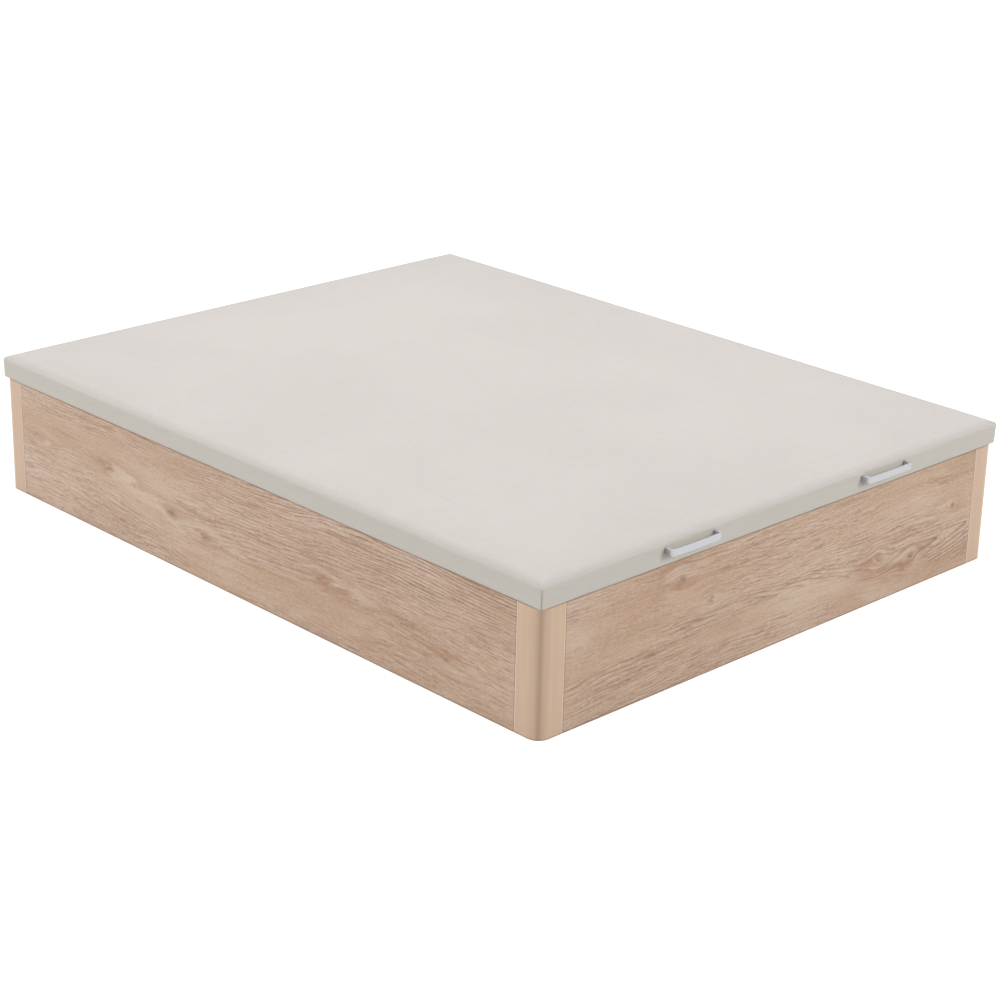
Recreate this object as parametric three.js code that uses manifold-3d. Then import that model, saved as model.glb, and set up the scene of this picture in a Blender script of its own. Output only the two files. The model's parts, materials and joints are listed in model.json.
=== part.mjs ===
// Lift-up storage bed base. Millimetres, +Z up, +X to the right, +Y towards the head.
// A box of four boards and four rounded corner posts stands on the floor. Its padded lid rests on the
// boards and opens from the foot end on two spring-assisted linkages, one inside each side.

import * as THREE from 'three';
import { mergeVertices } from 'three/addons/utils/BufferGeometryUtils.js';
import Module from 'manifold-3d';

const wasm = await Module();
wasm.setup();

// Overall sizes
const BED_WIDTH = 1500;
const BED_LENGTH = 1900;
const PANEL_HEIGHT = 290;
const LID_HEIGHT = 60;
const OVERHANG = 4;

// Clearances between pieces that touch, and between pieces that turn past each other
const FIT = 0.3;
const RUNNING_GAP = 0.55;

// Box: boards and posts
const PANEL_THICKNESS = 25;
const EDGE_CHAMFER = 1;
const POST_FACE = 70;
const POST_RADIUS = 30;
const POST_INNER_RADIUS = 6;
const TONGUE_LENGTH = 10;
const TONGUE_THICKNESS = 9;

// Box: floor
const LEDGER_SIZE = 20;
const LEDGER_TOP = 32;
const BEAM_WIDTH = 60;
const FLOOR_THICKNESS = 6;
const FLOOR_CORNER_CUT = 8;

// Box: corner brackets
const BRACKET_LEG = 100;
const BRACKET_HEIGHT = 80;
const BRACKET_THICKNESS = 2.5;
const BRACKET_BEND = 4;
const BRACKET_BOTTOM = 110;

// Lid: cover, padding, board
const FABRIC_THICKNESS = 1.5;
const HEM_WIDTH = 28;
const LID_EDGE_RADIUS = 12;
const LID_CORNER_RADIUS = 9;
const MIN_SIDE_PADDING = 5;
const TOP_PADDING = 7.5;
const BOARD_THICKNESS = 8;
const MIN_FRAME_CORNER_RADIUS = 1;

// Lid: tube frame. The first cross bar's distance is from the lid's foot end, the last one's from the lid plates.
const RAIL_WIDTH = 30;
const CROSS_BAR_WIDTH = 30;
const CROSS_BAR_HEIGHT = 25;
const TUBE_WALL = 1.5;
const TUBE_CORNER = 3;
const CROSS_BAR_COUNT = 4;
const FIRST_CROSS_BAR_DISTANCE = 400;
const LAST_CROSS_BAR_GAP = 2;

// Handles
const HANDLE_SPACING = 640;
const HANDLE_LENGTH = 156;
const HANDLE_HEIGHT = 16;
const HANDLE_REACH = 22;
const HANDLE_STRAP = 3.2;
const HANDLE_LEG = 6.5;
const HANDLE_ARCH = 1.8;
const HANDLE_BEND = 10;
const HANDLE_BEVEL = 0.7;
const HANDLE_ABOVE_LID_BOTTOM = 25;

// Linkage pivots: distance from the box's head end, and depth below the top edge of the boards.
// The spring's foot is as low as the plate's gap to the floor allows; its head sits on the long arm.
const LONG_FOOT = { fromHead: 581, below: 148 };
const LONG_HEAD = { fromHead: 174, below: 54 };
const SHORT_FOOT = { fromHead: 266, below: 67 };
const SHORT_HEAD = { fromHead: 80, below: 22 };
const SPRING_FOOT_FROM_HEAD = 226;
const SPRING_HEAD_DISTANCE = 180;

// Linkage pieces
const BASE_PLATE_THICKNESS = 3;
const BASE_PLATE_MARGIN = 26;
const BASE_PLATE_FLOOR_GAP = 5.7;
const LID_PLATE_THICKNESS = 4;
const LID_PLATE_MARGIN = 13;
const LID_PLATE_FRONT_FROM_HEAD = 399;
const LID_PLATE_REAR_FROM_HEAD = 53;
const LID_PLATE_EDGE = 9;
const ARM_THICKNESS = 4;
const LONG_ARM_END = 16;
const SHORT_ARM_END = 13;
const PIN_RADIUS = 6;
const PIN_SHANK = 5;
const PIN_COLLAR = 9;
const PIN_HEAD = 10;
const PIN_HEAD_HEIGHT = 2.2;
const PIN_HEAD_CHAMFER = 1;
const STUD_RADIUS = 4;
const STUD_COLLAR = 7;

// Windows in the base plate: each corner's share of the way from its pivot to the middle of the three
const WINDOW_RADIUS = 8;
const FRONT_WINDOW = { front: 0.42, rear: 0.66 };
const REAR_WINDOW = { towardsLong: 0.98, towardsShort: 0.45, towardsSpring: 0.55 };

// Gas springs
const CYLINDER_RADIUS = 10;
const CYLINDER_BORE = 4.8;
const CYLINDER_MOUTH_CHAMFER = 2;
const CYLINDER_END_CHAMFER = 3;
const ROD_RADIUS = 4;
const ROD_END_GAP = 2;
const EYE_RADIUS = 9;
const EYE_WIDTH = 12;
const NECK_RADIUS = 5;
const NECK_LENGTH = 16;
const ROD_SHOWING = 14;
const BORE_END_WALL = 12;
const SPRING_GAP = 1.2;

// Steps round a whole turn on pins and plates, and round the bends of the other pieces
const ROUND = 24;
const SMALL_ROUND = 16;
const POST_STEPS = 8;
const BRACKET_STEPS = 5;
const COVER_CORNER_STEPS = 4;
const COVER_EDGE_STEPS = 5;
const FRAME_CORNER_STEPS = 2;
const HANDLE_STEPS = 6;

// Points closer than this are one point when two solids are joined, and a turn flatter than this is straight
const WELD_DISTANCE = 1e-4;
const FLAT_TURN = 1e-6;

// Places that several pieces share
const halfWidth = BED_WIDTH / 2;
const halfLength = BED_LENGTH / 2;
const boxHalfWidth = halfWidth - OVERHANG;
const boxHalfLength = halfLength - OVERHANG;
const innerHalfWidth = boxHalfWidth - PANEL_THICKNESS;
const innerHalfLength = boxHalfLength - PANEL_THICKNESS;
const floorTop = LEDGER_TOP + FIT + FLOOR_THICKNESS;
const lidBottom = PANEL_HEIGHT + FIT;
const lidTop = PANEL_HEIGHT + LID_HEIGHT;
const coverInnerHalfWidth = halfWidth - FABRIC_THICKNESS;
const coverInnerHalfLength = halfLength - FABRIC_THICKNESS;
const railBottom = lidBottom + FABRIC_THICKNESS + FIT;
const paddingTop = lidTop - FABRIC_THICKNESS - FIT;
const boardTop = paddingTop - TOP_PADDING - FIT;
const railTop = boardTop - BOARD_THICKNESS - FIT;
const railHeight = railTop - railBottom;

// Layers of the linkage, as distances from the middle of the bed, from the side panel inwards
const basePlateOuter = innerHalfWidth - FIT;
const basePlateInner = basePlateOuter - BASE_PLATE_THICKNESS;
const lidPlateOuter = Math.min(
  basePlateInner - ARM_THICKNESS - 2 * RUNNING_GAP,
  coverInnerHalfWidth - MIN_SIDE_PADDING - RAIL_WIDTH - 3 * FIT,
);
const lidPlateInner = lidPlateOuter - LID_PLATE_THICKNESS;
const shortArmOuter = basePlateInner - RUNNING_GAP;
const shortArmInner = shortArmOuter - ARM_THICKNESS;
const longArmOuter = lidPlateInner - RUNNING_GAP;
const longArmInner = longArmOuter - ARM_THICKNESS;
const springMiddle = longArmInner - SPRING_GAP - CYLINDER_RADIUS;
const railInner = lidPlateOuter + FIT;
const railOuter = railInner + RAIL_WIDTH;
const sidePadding = coverInnerHalfWidth - 2 * FIT - railOuter;
const endRailOuter = coverInnerHalfLength - 2 * FIT - sidePadding;
const frameCornerRadius = Math.max(
  LID_CORNER_RADIUS - FABRIC_THICKNESS - 2 * FIT - sidePadding,
  MIN_FRAME_CORNER_RADIUS,
);

// Pivots in the plane of the linkage, x along the bed and y up
const pivot = ({ fromHead, below }) => new THREE.Vector2(boxHalfLength - fromHead, PANEL_HEIGHT - below);
const longFoot = pivot(LONG_FOOT);
const longHead = pivot(LONG_HEAD);
const shortFoot = pivot(SHORT_FOOT);
const shortHead = pivot(SHORT_HEAD);
const springFoot = new THREE.Vector2(
  boxHalfLength - SPRING_FOOT_FROM_HEAD,
  floorTop + BASE_PLATE_FLOOR_GAP + BASE_PLATE_MARGIN,
);
const armDirection = longHead.clone().sub(longFoot).normalize();
const springHead = longFoot.clone().addScaledVector(armDirection, SPRING_HEAD_DISTANCE);
const lidPlateFront = boxHalfLength - LID_PLATE_FRONT_FROM_HEAD;
const lidPlateRear = boxHalfLength - LID_PLATE_REAR_FROM_HEAD;

const paint = (color, roughness, metalness = 0) =>
  new THREE.MeshStandardMaterial({ color, roughness, metalness });
const oakDecor = paint(0xc4a68c, 0.55);
const tanPost = paint(0xc7ae96, 0.5);
const greigeFabric = paint(0xddd8d1, 0.9);
const foam = paint(0xe6e2d6, 0.95);
const fibreboard = paint(0xa98a68, 0.8);
const pine = paint(0xd9bd8e, 0.75);
const frameSteel = paint(0x54575a, 0.45, 0.6);
const linkSteel = paint(0xb4b7bb, 0.35, 0.8);
const pinSteel = paint(0x9fa1a6, 0.3, 0.85);
const satinChrome = paint(0xc8cad0, 0.25, 0.95);
const blackPaint = paint(0x1c1c1e, 0.4, 0.3);

// Turns a shape drawn along the bed and up into a plate between two distances from the middle
const alongBed = new THREE.Matrix4().makeBasis(
  new THREE.Vector3(0, 1, 0),
  new THREE.Vector3(0, 0, 1),
  new THREE.Vector3(1, 0, 0),
);

function uprightPlate(shape, side, inner, outer) {
  const geometry = new THREE.ExtrudeGeometry(shape, { depth: outer - inner, bevelEnabled: false });
  geometry.applyMatrix4(alongBed);
  geometry.translate(side > 0 ? inner : -outer, 0, 0);
  return geometry;
}

// The outline that a belt pulled round the circles would take
function beltRound(circles, steps = ROUND) {
  const points = circles.flatMap(({ at, radius }) =>
    Array.from({ length: steps }, (_, i) => {
      const turn = (2 * Math.PI * i) / steps;
      return new THREE.Vector2(at.x + radius * Math.cos(turn), at.y + radius * Math.sin(turn));
    }),
  );
  points.sort((a, b) => a.x - b.x || a.y - b.y);
  const cross = (o, a, b) => (a.x - o.x) * (b.y - o.y) - (a.y - o.y) * (b.x - o.x);
  const chain = (list) => {
    const kept = [];
    for (const p of list) {
      while (kept.length > 1 && cross(kept.at(-2), kept.at(-1), p) <= FLAT_TURN) kept.pop();
      kept.push(p);
    }
    return kept.slice(0, -1);
  };
  return [...chain(points), ...chain([...points].reverse())];
}

function circleHole(at, radius, steps = SMALL_ROUND) {
  const hole = new THREE.Path();
  const turns = Array.from({ length: steps }, (_, i) => (-2 * Math.PI * i) / steps);
  hole.setFromPoints(turns.map((t) => new THREE.Vector2(at.x + radius * Math.cos(t), at.y + radius * Math.sin(t))));
  return hole;
}

function beltHole(circles) {
  return new THREE.Path(beltRound(circles, SMALL_ROUND).reverse());
}

// A turned piece about +Y: its profile lists [distance along the axis, radius] from either end
function turned(profile, steps = ROUND) {
  const rising = profile[0][0] < profile.at(-1)[0] ? profile : profile.toReversed();
  const points = rising.map(([along, radius]) => new THREE.Vector2(radius, along));
  return new THREE.LatheGeometry(points, steps);
}

// A turned piece across the linkage, with its profile given in distances from the middle of the bed
function crossPin(profile, at, side, steps = SMALL_ROUND) {
  const geometry = turned(profile, steps);
  geometry.rotateZ(-Math.PI / 2);
  if (side < 0) geometry.rotateZ(Math.PI);
  geometry.translate(0, at.x, at.y);
  return geometry;
}

// Joins or cuts two closed geometries
function solid(geometry) {
  const bare = new THREE.BufferGeometry();
  bare.setAttribute('position', geometry.getAttribute('position').clone());
  if (geometry.index) bare.setIndex(geometry.index.clone());
  const merged = mergeVertices(bare, WELD_DISTANCE);
  return new wasm.Manifold(
    new wasm.Mesh({
      numProp: 3,
      vertProperties: Float32Array.from(merged.getAttribute('position').array),
      triVerts: Uint32Array.from(merged.index.array),
    }),
  );
}

function surface(manifold) {
  const mesh = manifold.getMesh();
  const geometry = new THREE.BufferGeometry();
  geometry.setAttribute('position', new THREE.BufferAttribute(Float32Array.from(mesh.vertProperties), 3));
  geometry.setIndex(new THREE.BufferAttribute(Uint32Array.from(mesh.triVerts), 1));
  return geometry;
}

const join = (a, b) => surface(solid(a).add(solid(b)));
const cut = (a, b) => surface(solid(a).subtract(solid(b)));

const bed = new THREE.Group();

function place(name, geometry, material, position = [0, 0, 0], turnZ = 0) {
  const mesh = new THREE.Mesh(geometry, material);
  mesh.name = name;
  mesh.position.set(...position);
  mesh.rotation.z = turnZ;
  bed.add(mesh);
}

// Box: a board with a tongue on each end and its outer face towards -Y
function panelGeometry(length) {
  const end = length / 2;
  const face = PANEL_THICKNESS / 2;
  const tongue = TONGUE_THICKNESS / 2;
  const tip = end + TONGUE_LENGTH;
  const half = [
    [end - EDGE_CHAMFER, -face],
    [end, EDGE_CHAMFER - face],
    [end, -tongue],
    [tip, -tongue],
    [tip, tongue],
    [end, tongue],
    [end, face],
  ];
  const outline = [...half, ...half.map(([x, y]) => [-x, y]).reverse()];
  const shape = new THREE.Shape(outline.map(([x, y]) => new THREE.Vector2(x, y)));
  return new THREE.ExtrudeGeometry(shape, { depth: PANEL_HEIGHT, bevelEnabled: false });
}

// Box: an L-shaped post with its rounded outer edge at the origin and a groove in each end
function postGeometry() {
  const middle = PANEL_THICKNESS / 2;
  const groove = TONGUE_THICKNESS / 2 + FIT;
  const bottom = POST_FACE - TONGUE_LENGTH - 2 * FIT;
  const leg = [
    [POST_FACE - EDGE_CHAMFER, 0],
    [POST_FACE, EDGE_CHAMFER],
    [POST_FACE, middle - groove],
    [bottom, middle - groove],
    [bottom, middle + groove],
    [POST_FACE, middle + groove],
    [POST_FACE, PANEL_THICKNESS],
  ];
  const shape = new THREE.Shape();
  shape.moveTo(POST_RADIUS, 0);
  for (const [along, across] of leg) shape.lineTo(along, across);
  const inner = PANEL_THICKNESS + POST_INNER_RADIUS;
  shape.lineTo(inner, PANEL_THICKNESS);
  shape.absarc(inner, inner, POST_INNER_RADIUS, -Math.PI / 2, -Math.PI, true);
  for (const [along, across] of leg.toReversed()) shape.lineTo(across, along);
  shape.lineTo(0, POST_RADIUS);
  shape.absarc(POST_RADIUS, POST_RADIUS, POST_RADIUS, Math.PI, 1.5 * Math.PI, false);
  const options = { depth: PANEL_HEIGHT, bevelEnabled: false, curveSegments: POST_STEPS };
  return new THREE.ExtrudeGeometry(shape, options);
}

function buildBox() {
  const taken = 2 * (POST_FACE + FIT);
  const sideBoard = panelGeometry(2 * boxHalfLength - taken);
  const endBoard = panelGeometry(2 * boxHalfWidth - taken);
  const sideAt = boxHalfWidth - PANEL_THICKNESS / 2;
  const endAt = boxHalfLength - PANEL_THICKNESS / 2;
  place('side_panel_left', sideBoard, oakDecor, [-sideAt, 0, 0], -Math.PI / 2);
  place('side_panel_right', sideBoard, oakDecor, [sideAt, 0, 0], Math.PI / 2);
  place('foot_panel', endBoard, oakDecor, [0, -endAt, 0]);
  place('head_panel', endBoard, oakDecor, [0, endAt, 0], Math.PI);
  const corners = [
    ['foot_left', -1, -1],
    ['foot_right', 1, -1],
    ['head_right', 1, 1],
    ['head_left', -1, 1],
  ];
  corners.forEach(([corner, x, y], i) => {
    const turn = (i * Math.PI) / 2;
    place(`post_${corner}`, postGeometry(), tanPost, [x * boxHalfWidth, y * boxHalfLength, 0], turn);
    const bracketAt = [x * (innerHalfWidth - FIT), y * (innerHalfLength - FIT), BRACKET_BOTTOM];
    place(`corner_bracket_${corner}`, bracketGeometry(), linkSteel, bracketAt, turn);
  });
}

// Box: a bent angle whose outer faces lie on the two boards of a corner
function bracketGeometry() {
  const shape = new THREE.Shape();
  const inner = BRACKET_THICKNESS + BRACKET_BEND;
  const outerBend = inner + POST_INNER_RADIUS;
  shape.moveTo(outerBend, 0);
  shape.lineTo(BRACKET_LEG, 0);
  shape.lineTo(BRACKET_LEG, BRACKET_THICKNESS);
  shape.lineTo(outerBend, BRACKET_THICKNESS);
  shape.absarc(outerBend, outerBend, outerBend - BRACKET_THICKNESS, -Math.PI / 2, -Math.PI, true);
  shape.lineTo(BRACKET_THICKNESS, BRACKET_LEG);
  shape.lineTo(0, BRACKET_LEG);
  shape.lineTo(0, outerBend);
  shape.absarc(outerBend, outerBend, outerBend, Math.PI, 1.5 * Math.PI, false);
  const options = { depth: BRACKET_HEIGHT, bevelEnabled: false, curveSegments: BRACKET_STEPS };
  return new THREE.ExtrudeGeometry(shape, options);
}

// Box: ledgers on the boards, a centre beam, and the floor in two halves
function buildFloor() {
  const middle = LEDGER_TOP - LEDGER_SIZE / 2;
  const sideAt = innerHalfWidth - FIT - LEDGER_SIZE / 2;
  const endAt = innerHalfLength - FIT - LEDGER_SIZE / 2;
  const corner = POST_INNER_RADIUS + FIT;
  const sideLength = 2 * (innerHalfLength - corner);
  const endLength = 2 * (sideAt - LEDGER_SIZE / 2 - FIT);
  const sideLedger = new THREE.BoxGeometry(LEDGER_SIZE, sideLength, LEDGER_SIZE);
  const endLedger = new THREE.BoxGeometry(endLength, LEDGER_SIZE, LEDGER_SIZE);
  place('ledger_left', sideLedger, pine, [-sideAt, 0, middle]);
  place('ledger_right', sideLedger, pine, [sideAt, 0, middle]);
  place('ledger_foot', endLedger, pine, [0, -endAt, middle]);
  place('ledger_head', endLedger, pine, [0, endAt, middle]);
  const beamLength = 2 * (endAt - LEDGER_SIZE / 2 - FIT);
  place('centre_beam', new THREE.BoxGeometry(BEAM_WIDTH, beamLength, LEDGER_TOP), pine, [0, 0, LEDGER_TOP / 2]);

  const near = FIT / 2;
  const far = innerHalfWidth - FIT;
  const end = innerHalfLength - FIT;
  const outline = [
    [near, -end],
    [far - FLOOR_CORNER_CUT, -end],
    [far, FLOOR_CORNER_CUT - end],
    [far, end - FLOOR_CORNER_CUT],
    [far - FLOOR_CORNER_CUT, end],
    [near, end],
  ];
  const shape = new THREE.Shape(outline.map(([x, y]) => new THREE.Vector2(x, y)));
  const half = new THREE.ExtrudeGeometry(shape, { depth: FLOOR_THICKNESS, bevelEnabled: false });
  place('floor_board_right', half, fibreboard, [0, 0, LEDGER_TOP + FIT]);
  place('floor_board_left', half, fibreboard, [0, 0, LEDGER_TOP + FIT], Math.PI);
}

// Lid: rings of points round a rectangle with rounded corners, joined into one closed skin.
// Each ring lists how far it lies inside the outline, and its height.
function ringedSkin(rings, halfX, halfY, cornerRadius) {
  const positions = [];
  const index = [];
  const cornerPoints = COVER_CORNER_STEPS + 1;
  const count = 4 * cornerPoints;
  for (const [inset, z] of rings) {
    const radius = Math.max(cornerRadius - inset, FIT);
    const reachX = halfX - inset - radius;
    const reachY = halfY - inset - radius;
    for (let i = 0; i < count; i += 1) {
      const quarter = Math.floor(i / cornerPoints);
      const step = i % cornerPoints;
      const turn = ((quarter + step / COVER_CORNER_STEPS) * Math.PI) / 2;
      const signX = quarter === 0 || quarter === 3 ? 1 : -1;
      const signY = quarter < 2 ? 1 : -1;
      positions.push(signX * reachX + radius * Math.cos(turn), signY * reachY + radius * Math.sin(turn), z);
    }
  }
  for (let ring = 0; ring < rings.length - 1; ring += 1) {
    for (let i = 0; i < count; i += 1) {
      const a = ring * count + i;
      const b = ring * count + ((i + 1) % count);
      index.push(a, a + count, b + count, a, b + count, b);
    }
  }
  const lastRing = (rings.length - 1) * count;
  const topCentre = positions.length / 3;
  positions.push(0, 0, rings[0][1], 0, 0, rings.at(-1)[1]);
  for (let i = 0; i < count; i += 1) {
    const next = (i + 1) % count;
    index.push(topCentre, i, next, topCentre + 1, lastRing + next, lastRing + i);
  }
  const geometry = new THREE.BufferGeometry();
  geometry.setAttribute('position', new THREE.Float32BufferAttribute(positions, 3));
  geometry.setIndex(index);
  return geometry;
}

// Rings along the rounded top edge, from the top to the side or back
function edgeRings(radius, inset, top) {
  return Array.from({ length: COVER_EDGE_STEPS + 1 }, (_, i) => {
    const turn = (i / COVER_EDGE_STEPS) * (Math.PI / 2);
    return [inset + radius * (1 - Math.sin(turn)), top - radius * (1 - Math.cos(turn))];
  });
}

function buildCover() {
  const outer = edgeRings(LID_EDGE_RADIUS, 0, lidTop);
  const inner = edgeRings(LID_EDGE_RADIUS - FABRIC_THICKNESS, FABRIC_THICKNESS, lidTop - FABRIC_THICKNESS);
  const fold = FABRIC_THICKNESS;
  const foldMiddle = fold * (1 - Math.SQRT1_2);
  const rings = [
    ...outer,
    [0, lidBottom + fold],
    [foldMiddle, lidBottom + foldMiddle],
    [fold, lidBottom],
    [HEM_WIDTH, lidBottom],
    [HEM_WIDTH, lidBottom + fold],
    [fold, lidBottom + fold],
    ...inner.reverse(),
  ];
  place('lid_cover', ringedSkin(rings, halfWidth, halfLength, LID_CORNER_RADIUS), greigeFabric);
}

function buildPadding() {
  const shrink = FABRIC_THICKNESS + FIT;
  const rings = [
    ...edgeRings(LID_EDGE_RADIUS - shrink, 0, paddingTop),
    [0, railBottom],
    [sidePadding, railBottom],
    [sidePadding, boardTop + FIT],
  ];
  const halfX = halfWidth - shrink;
  const halfY = halfLength - shrink;
  place('lid_padding', ringedSkin(rings, halfX, halfY, LID_CORNER_RADIUS - shrink), foam);
}

// Lid: a rectangular tube along X, open at both ends, with its middle at the origin
function tubeGeometry(length, width, height) {
  const outline = (inset, corner) => {
    const x = width / 2 - inset - corner;
    const y = height / 2 - inset - corner;
    const path = new THREE.Path();
    path.absarc(x, y, corner, 0, Math.PI / 2, false);
    path.absarc(-x, y, corner, Math.PI / 2, Math.PI, false);
    path.absarc(-x, -y, corner, Math.PI, 1.5 * Math.PI, false);
    path.absarc(x, -y, corner, 1.5 * Math.PI, 2 * Math.PI, false);
    return path.getPoints(FRAME_CORNER_STEPS);
  };
  const shape = new THREE.Shape(outline(0, TUBE_CORNER));
  shape.holes.push(new THREE.Path(outline(TUBE_WALL, TUBE_CORNER - TUBE_WALL).reverse()));
  const geometry = new THREE.ExtrudeGeometry(shape, { depth: length, bevelEnabled: false });
  geometry.translate(0, 0, -length / 2);
  geometry.applyMatrix4(alongBed);
  return geometry;
}

function buildFrame() {
  const railMiddle = railBottom + railHeight / 2;
  const sideAt = railInner + RAIL_WIDTH / 2;
  const sideRail = tubeGeometry(2 * (endRailOuter - frameCornerRadius), RAIL_WIDTH, railHeight);
  place('side_rail_left', sideRail, frameSteel, [-sideAt, 0, railMiddle], Math.PI / 2);
  place('side_rail_right', sideRail, frameSteel, [sideAt, 0, railMiddle], Math.PI / 2);
  const between = 2 * (railInner - FIT);
  const endRail = tubeGeometry(between, RAIL_WIDTH, railHeight);
  const endAt = endRailOuter - RAIL_WIDTH / 2;
  place('foot_rail', endRail, frameSteel, [0, -endAt, railMiddle]);
  place('head_rail', endRail, frameSteel, [0, endAt, railMiddle]);
  const bar = tubeGeometry(between, CROSS_BAR_WIDTH, CROSS_BAR_HEIGHT);
  const barMiddle = railTop - CROSS_BAR_HEIGHT / 2;
  const firstBar = FIRST_CROSS_BAR_DISTANCE - halfLength;
  const lastBar = lidPlateFront - LAST_CROSS_BAR_GAP - CROSS_BAR_WIDTH / 2;
  const pitch = (lastBar - firstBar) / (CROSS_BAR_COUNT - 1);
  for (let i = 0; i < CROSS_BAR_COUNT; i += 1) {
    place(`cross_bar_${i + 1}`, bar, frameSteel, [0, firstBar + i * pitch, barMiddle]);
  }
}

function buildBoard() {
  const radius = frameCornerRadius;
  const x = railOuter - radius;
  const y = endRailOuter - radius;
  const shape = new THREE.Shape();
  shape.absarc(x, y, radius, 0, Math.PI / 2, false);
  shape.absarc(-x, y, radius, Math.PI / 2, Math.PI, false);
  shape.absarc(-x, -y, radius, Math.PI, 1.5 * Math.PI, false);
  shape.absarc(x, -y, radius, 1.5 * Math.PI, 2 * Math.PI, false);
  const options = { depth: BOARD_THICKNESS, bevelEnabled: false, curveSegments: FRAME_CORNER_STEPS };
  place('lid_board', new THREE.ExtrudeGeometry(shape, options), fibreboard, [0, 0, railTop + FIT]);
}

// Handles: a flat strap bowed out from the lid on two thicker legs, drawn from above
function handleGeometry() {
  const end = HANDLE_LENGTH / 2;
  const knee = HANDLE_REACH - HANDLE_ARCH;
  const outer = {
    leg: end,
    bend: knee - HANDLE_BEND,
    corner: knee,
    turn: end - HANDLE_BEND,
    front: knee + HANDLE_ARCH / 4,
    crest: HANDLE_REACH + HANDLE_ARCH * 0.75,
  };
  const inner = {
    leg: end - HANDLE_LEG,
    bend: knee - HANDLE_BEND,
    corner: outer.corner - HANDLE_STRAP,
    turn: end - HANDLE_BEND - HANDLE_STRAP,
    front: outer.front - HANDLE_STRAP,
    crest: outer.crest - HANDLE_STRAP,
  };
  const shape = new THREE.Shape();
  shape.moveTo(-outer.leg, 0);
  shape.lineTo(-outer.leg, -outer.bend);
  shape.quadraticCurveTo(-outer.leg, -outer.corner, -outer.turn, -outer.front);
  shape.quadraticCurveTo(0, -outer.crest, outer.turn, -outer.front);
  shape.quadraticCurveTo(outer.leg, -outer.corner, outer.leg, -outer.bend);
  shape.lineTo(outer.leg, 0);
  shape.lineTo(inner.leg, 0);
  shape.lineTo(inner.leg, -inner.bend);
  shape.quadraticCurveTo(inner.leg, -inner.corner, inner.turn, -inner.front);
  shape.quadraticCurveTo(0, -inner.crest, -inner.turn, -inner.front);
  shape.quadraticCurveTo(-inner.leg, -inner.corner, -inner.leg, -inner.bend);
  shape.lineTo(-inner.leg, 0);
  const geometry = new THREE.ExtrudeGeometry(shape, {
    depth: HANDLE_HEIGHT - 2 * HANDLE_BEVEL,
    bevelThickness: HANDLE_BEVEL,
    bevelSize: HANDLE_BEVEL,
    bevelOffset: -HANDLE_BEVEL,
    bevelSegments: 1,
    curveSegments: HANDLE_STEPS,
  });
  geometry.translate(0, 0, HANDLE_BEVEL);
  return geometry;
}

function buildHandles() {
  const bottom = lidBottom + HANDLE_ABOVE_LID_BOTTOM;
  const y = -halfLength - FIT;
  place('handle_left', handleGeometry(), satinChrome, [-HANDLE_SPACING / 2, y, bottom]);
  place('handle_right', handleGeometry(), satinChrome, [HANDLE_SPACING / 2, y, bottom]);
}

// Linkage: the plate screwed to the side panel, with windows between its pivots
function basePlateShape() {
  const corner = (at) => ({ at, radius: BASE_PLATE_MARGIN });
  const shape = new THREE.Shape(beltRound([corner(longFoot), corner(shortFoot), corner(springFoot)]));
  for (const at of [longFoot, shortFoot]) shape.holes.push(circleHole(at, PIN_SHANK + FIT));
  shape.holes.push(circleHole(springFoot, STUD_RADIUS + FIT));
  const middle = longFoot.clone().add(shortFoot).add(springFoot).divideScalar(3);
  const inwards = (at, share) => at.clone().lerp(middle, share);
  const window = (points) => shape.holes.push(beltHole(points.map((at) => ({ at, radius: WINDOW_RADIUS }))));
  window([inwards(longFoot, FRONT_WINDOW.front), inwards(longFoot, FRONT_WINDOW.rear)]);
  window([
    inwards(longFoot, REAR_WINDOW.towardsLong),
    inwards(shortFoot, REAR_WINDOW.towardsShort),
    inwards(springFoot, REAR_WINDOW.towardsSpring),
  ]);
  return shape;
}

// Linkage: the plate on the inner face of the lid's side rail, reaching down to its two pivots
function lidPlateShape() {
  const low = railBottom + LID_PLATE_EDGE;
  const high = railTop - LID_PLATE_EDGE - FIT;
  const front = lidPlateFront + LID_PLATE_EDGE;
  const rear = lidPlateRear - LID_PLATE_EDGE;
  const edge = (x, y) => ({ at: new THREE.Vector2(x, y), radius: LID_PLATE_EDGE });
  const shape = new THREE.Shape(
    beltRound([
      edge(front, low),
      edge(front, high),
      edge(rear, high),
      { at: longHead, radius: LID_PLATE_MARGIN },
      { at: shortHead, radius: LID_PLATE_MARGIN },
    ]),
  );
  for (const at of [longHead, shortHead]) shape.holes.push(circleHole(at, PIN_SHANK + FIT));
  return shape;
}

function armShape(from, to, radius, holes) {
  const shape = new THREE.Shape(
    beltRound([
      { at: from, radius },
      { at: to, radius },
    ]),
  );
  for (const { at, clear } of holes) shape.holes.push(circleHole(at, clear));
  return shape;
}

// A pin riveted in a plate and carrying an arm: shank, journal through the arm, and head
function pinProfile(plateOuter, plateInner, armOuter, armInner, collar) {
  const headStart = armInner - FIT;
  const profile = [
    [plateOuter, 0],
    [plateOuter, PIN_SHANK],
    [plateInner - FIT, PIN_SHANK],
  ];
  if (collar) {
    profile.push([plateInner - FIT, PIN_COLLAR], [armOuter + FIT, PIN_COLLAR]);
  }
  profile.push(
    [collar ? armOuter + FIT : plateInner - FIT, PIN_RADIUS],
    [headStart, PIN_RADIUS],
    [headStart, PIN_HEAD],
    [headStart - PIN_HEAD_HEIGHT, PIN_HEAD - PIN_HEAD_CHAMFER],
    [headStart - PIN_HEAD_HEIGHT, 0],
  );
  return profile;
}

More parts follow.
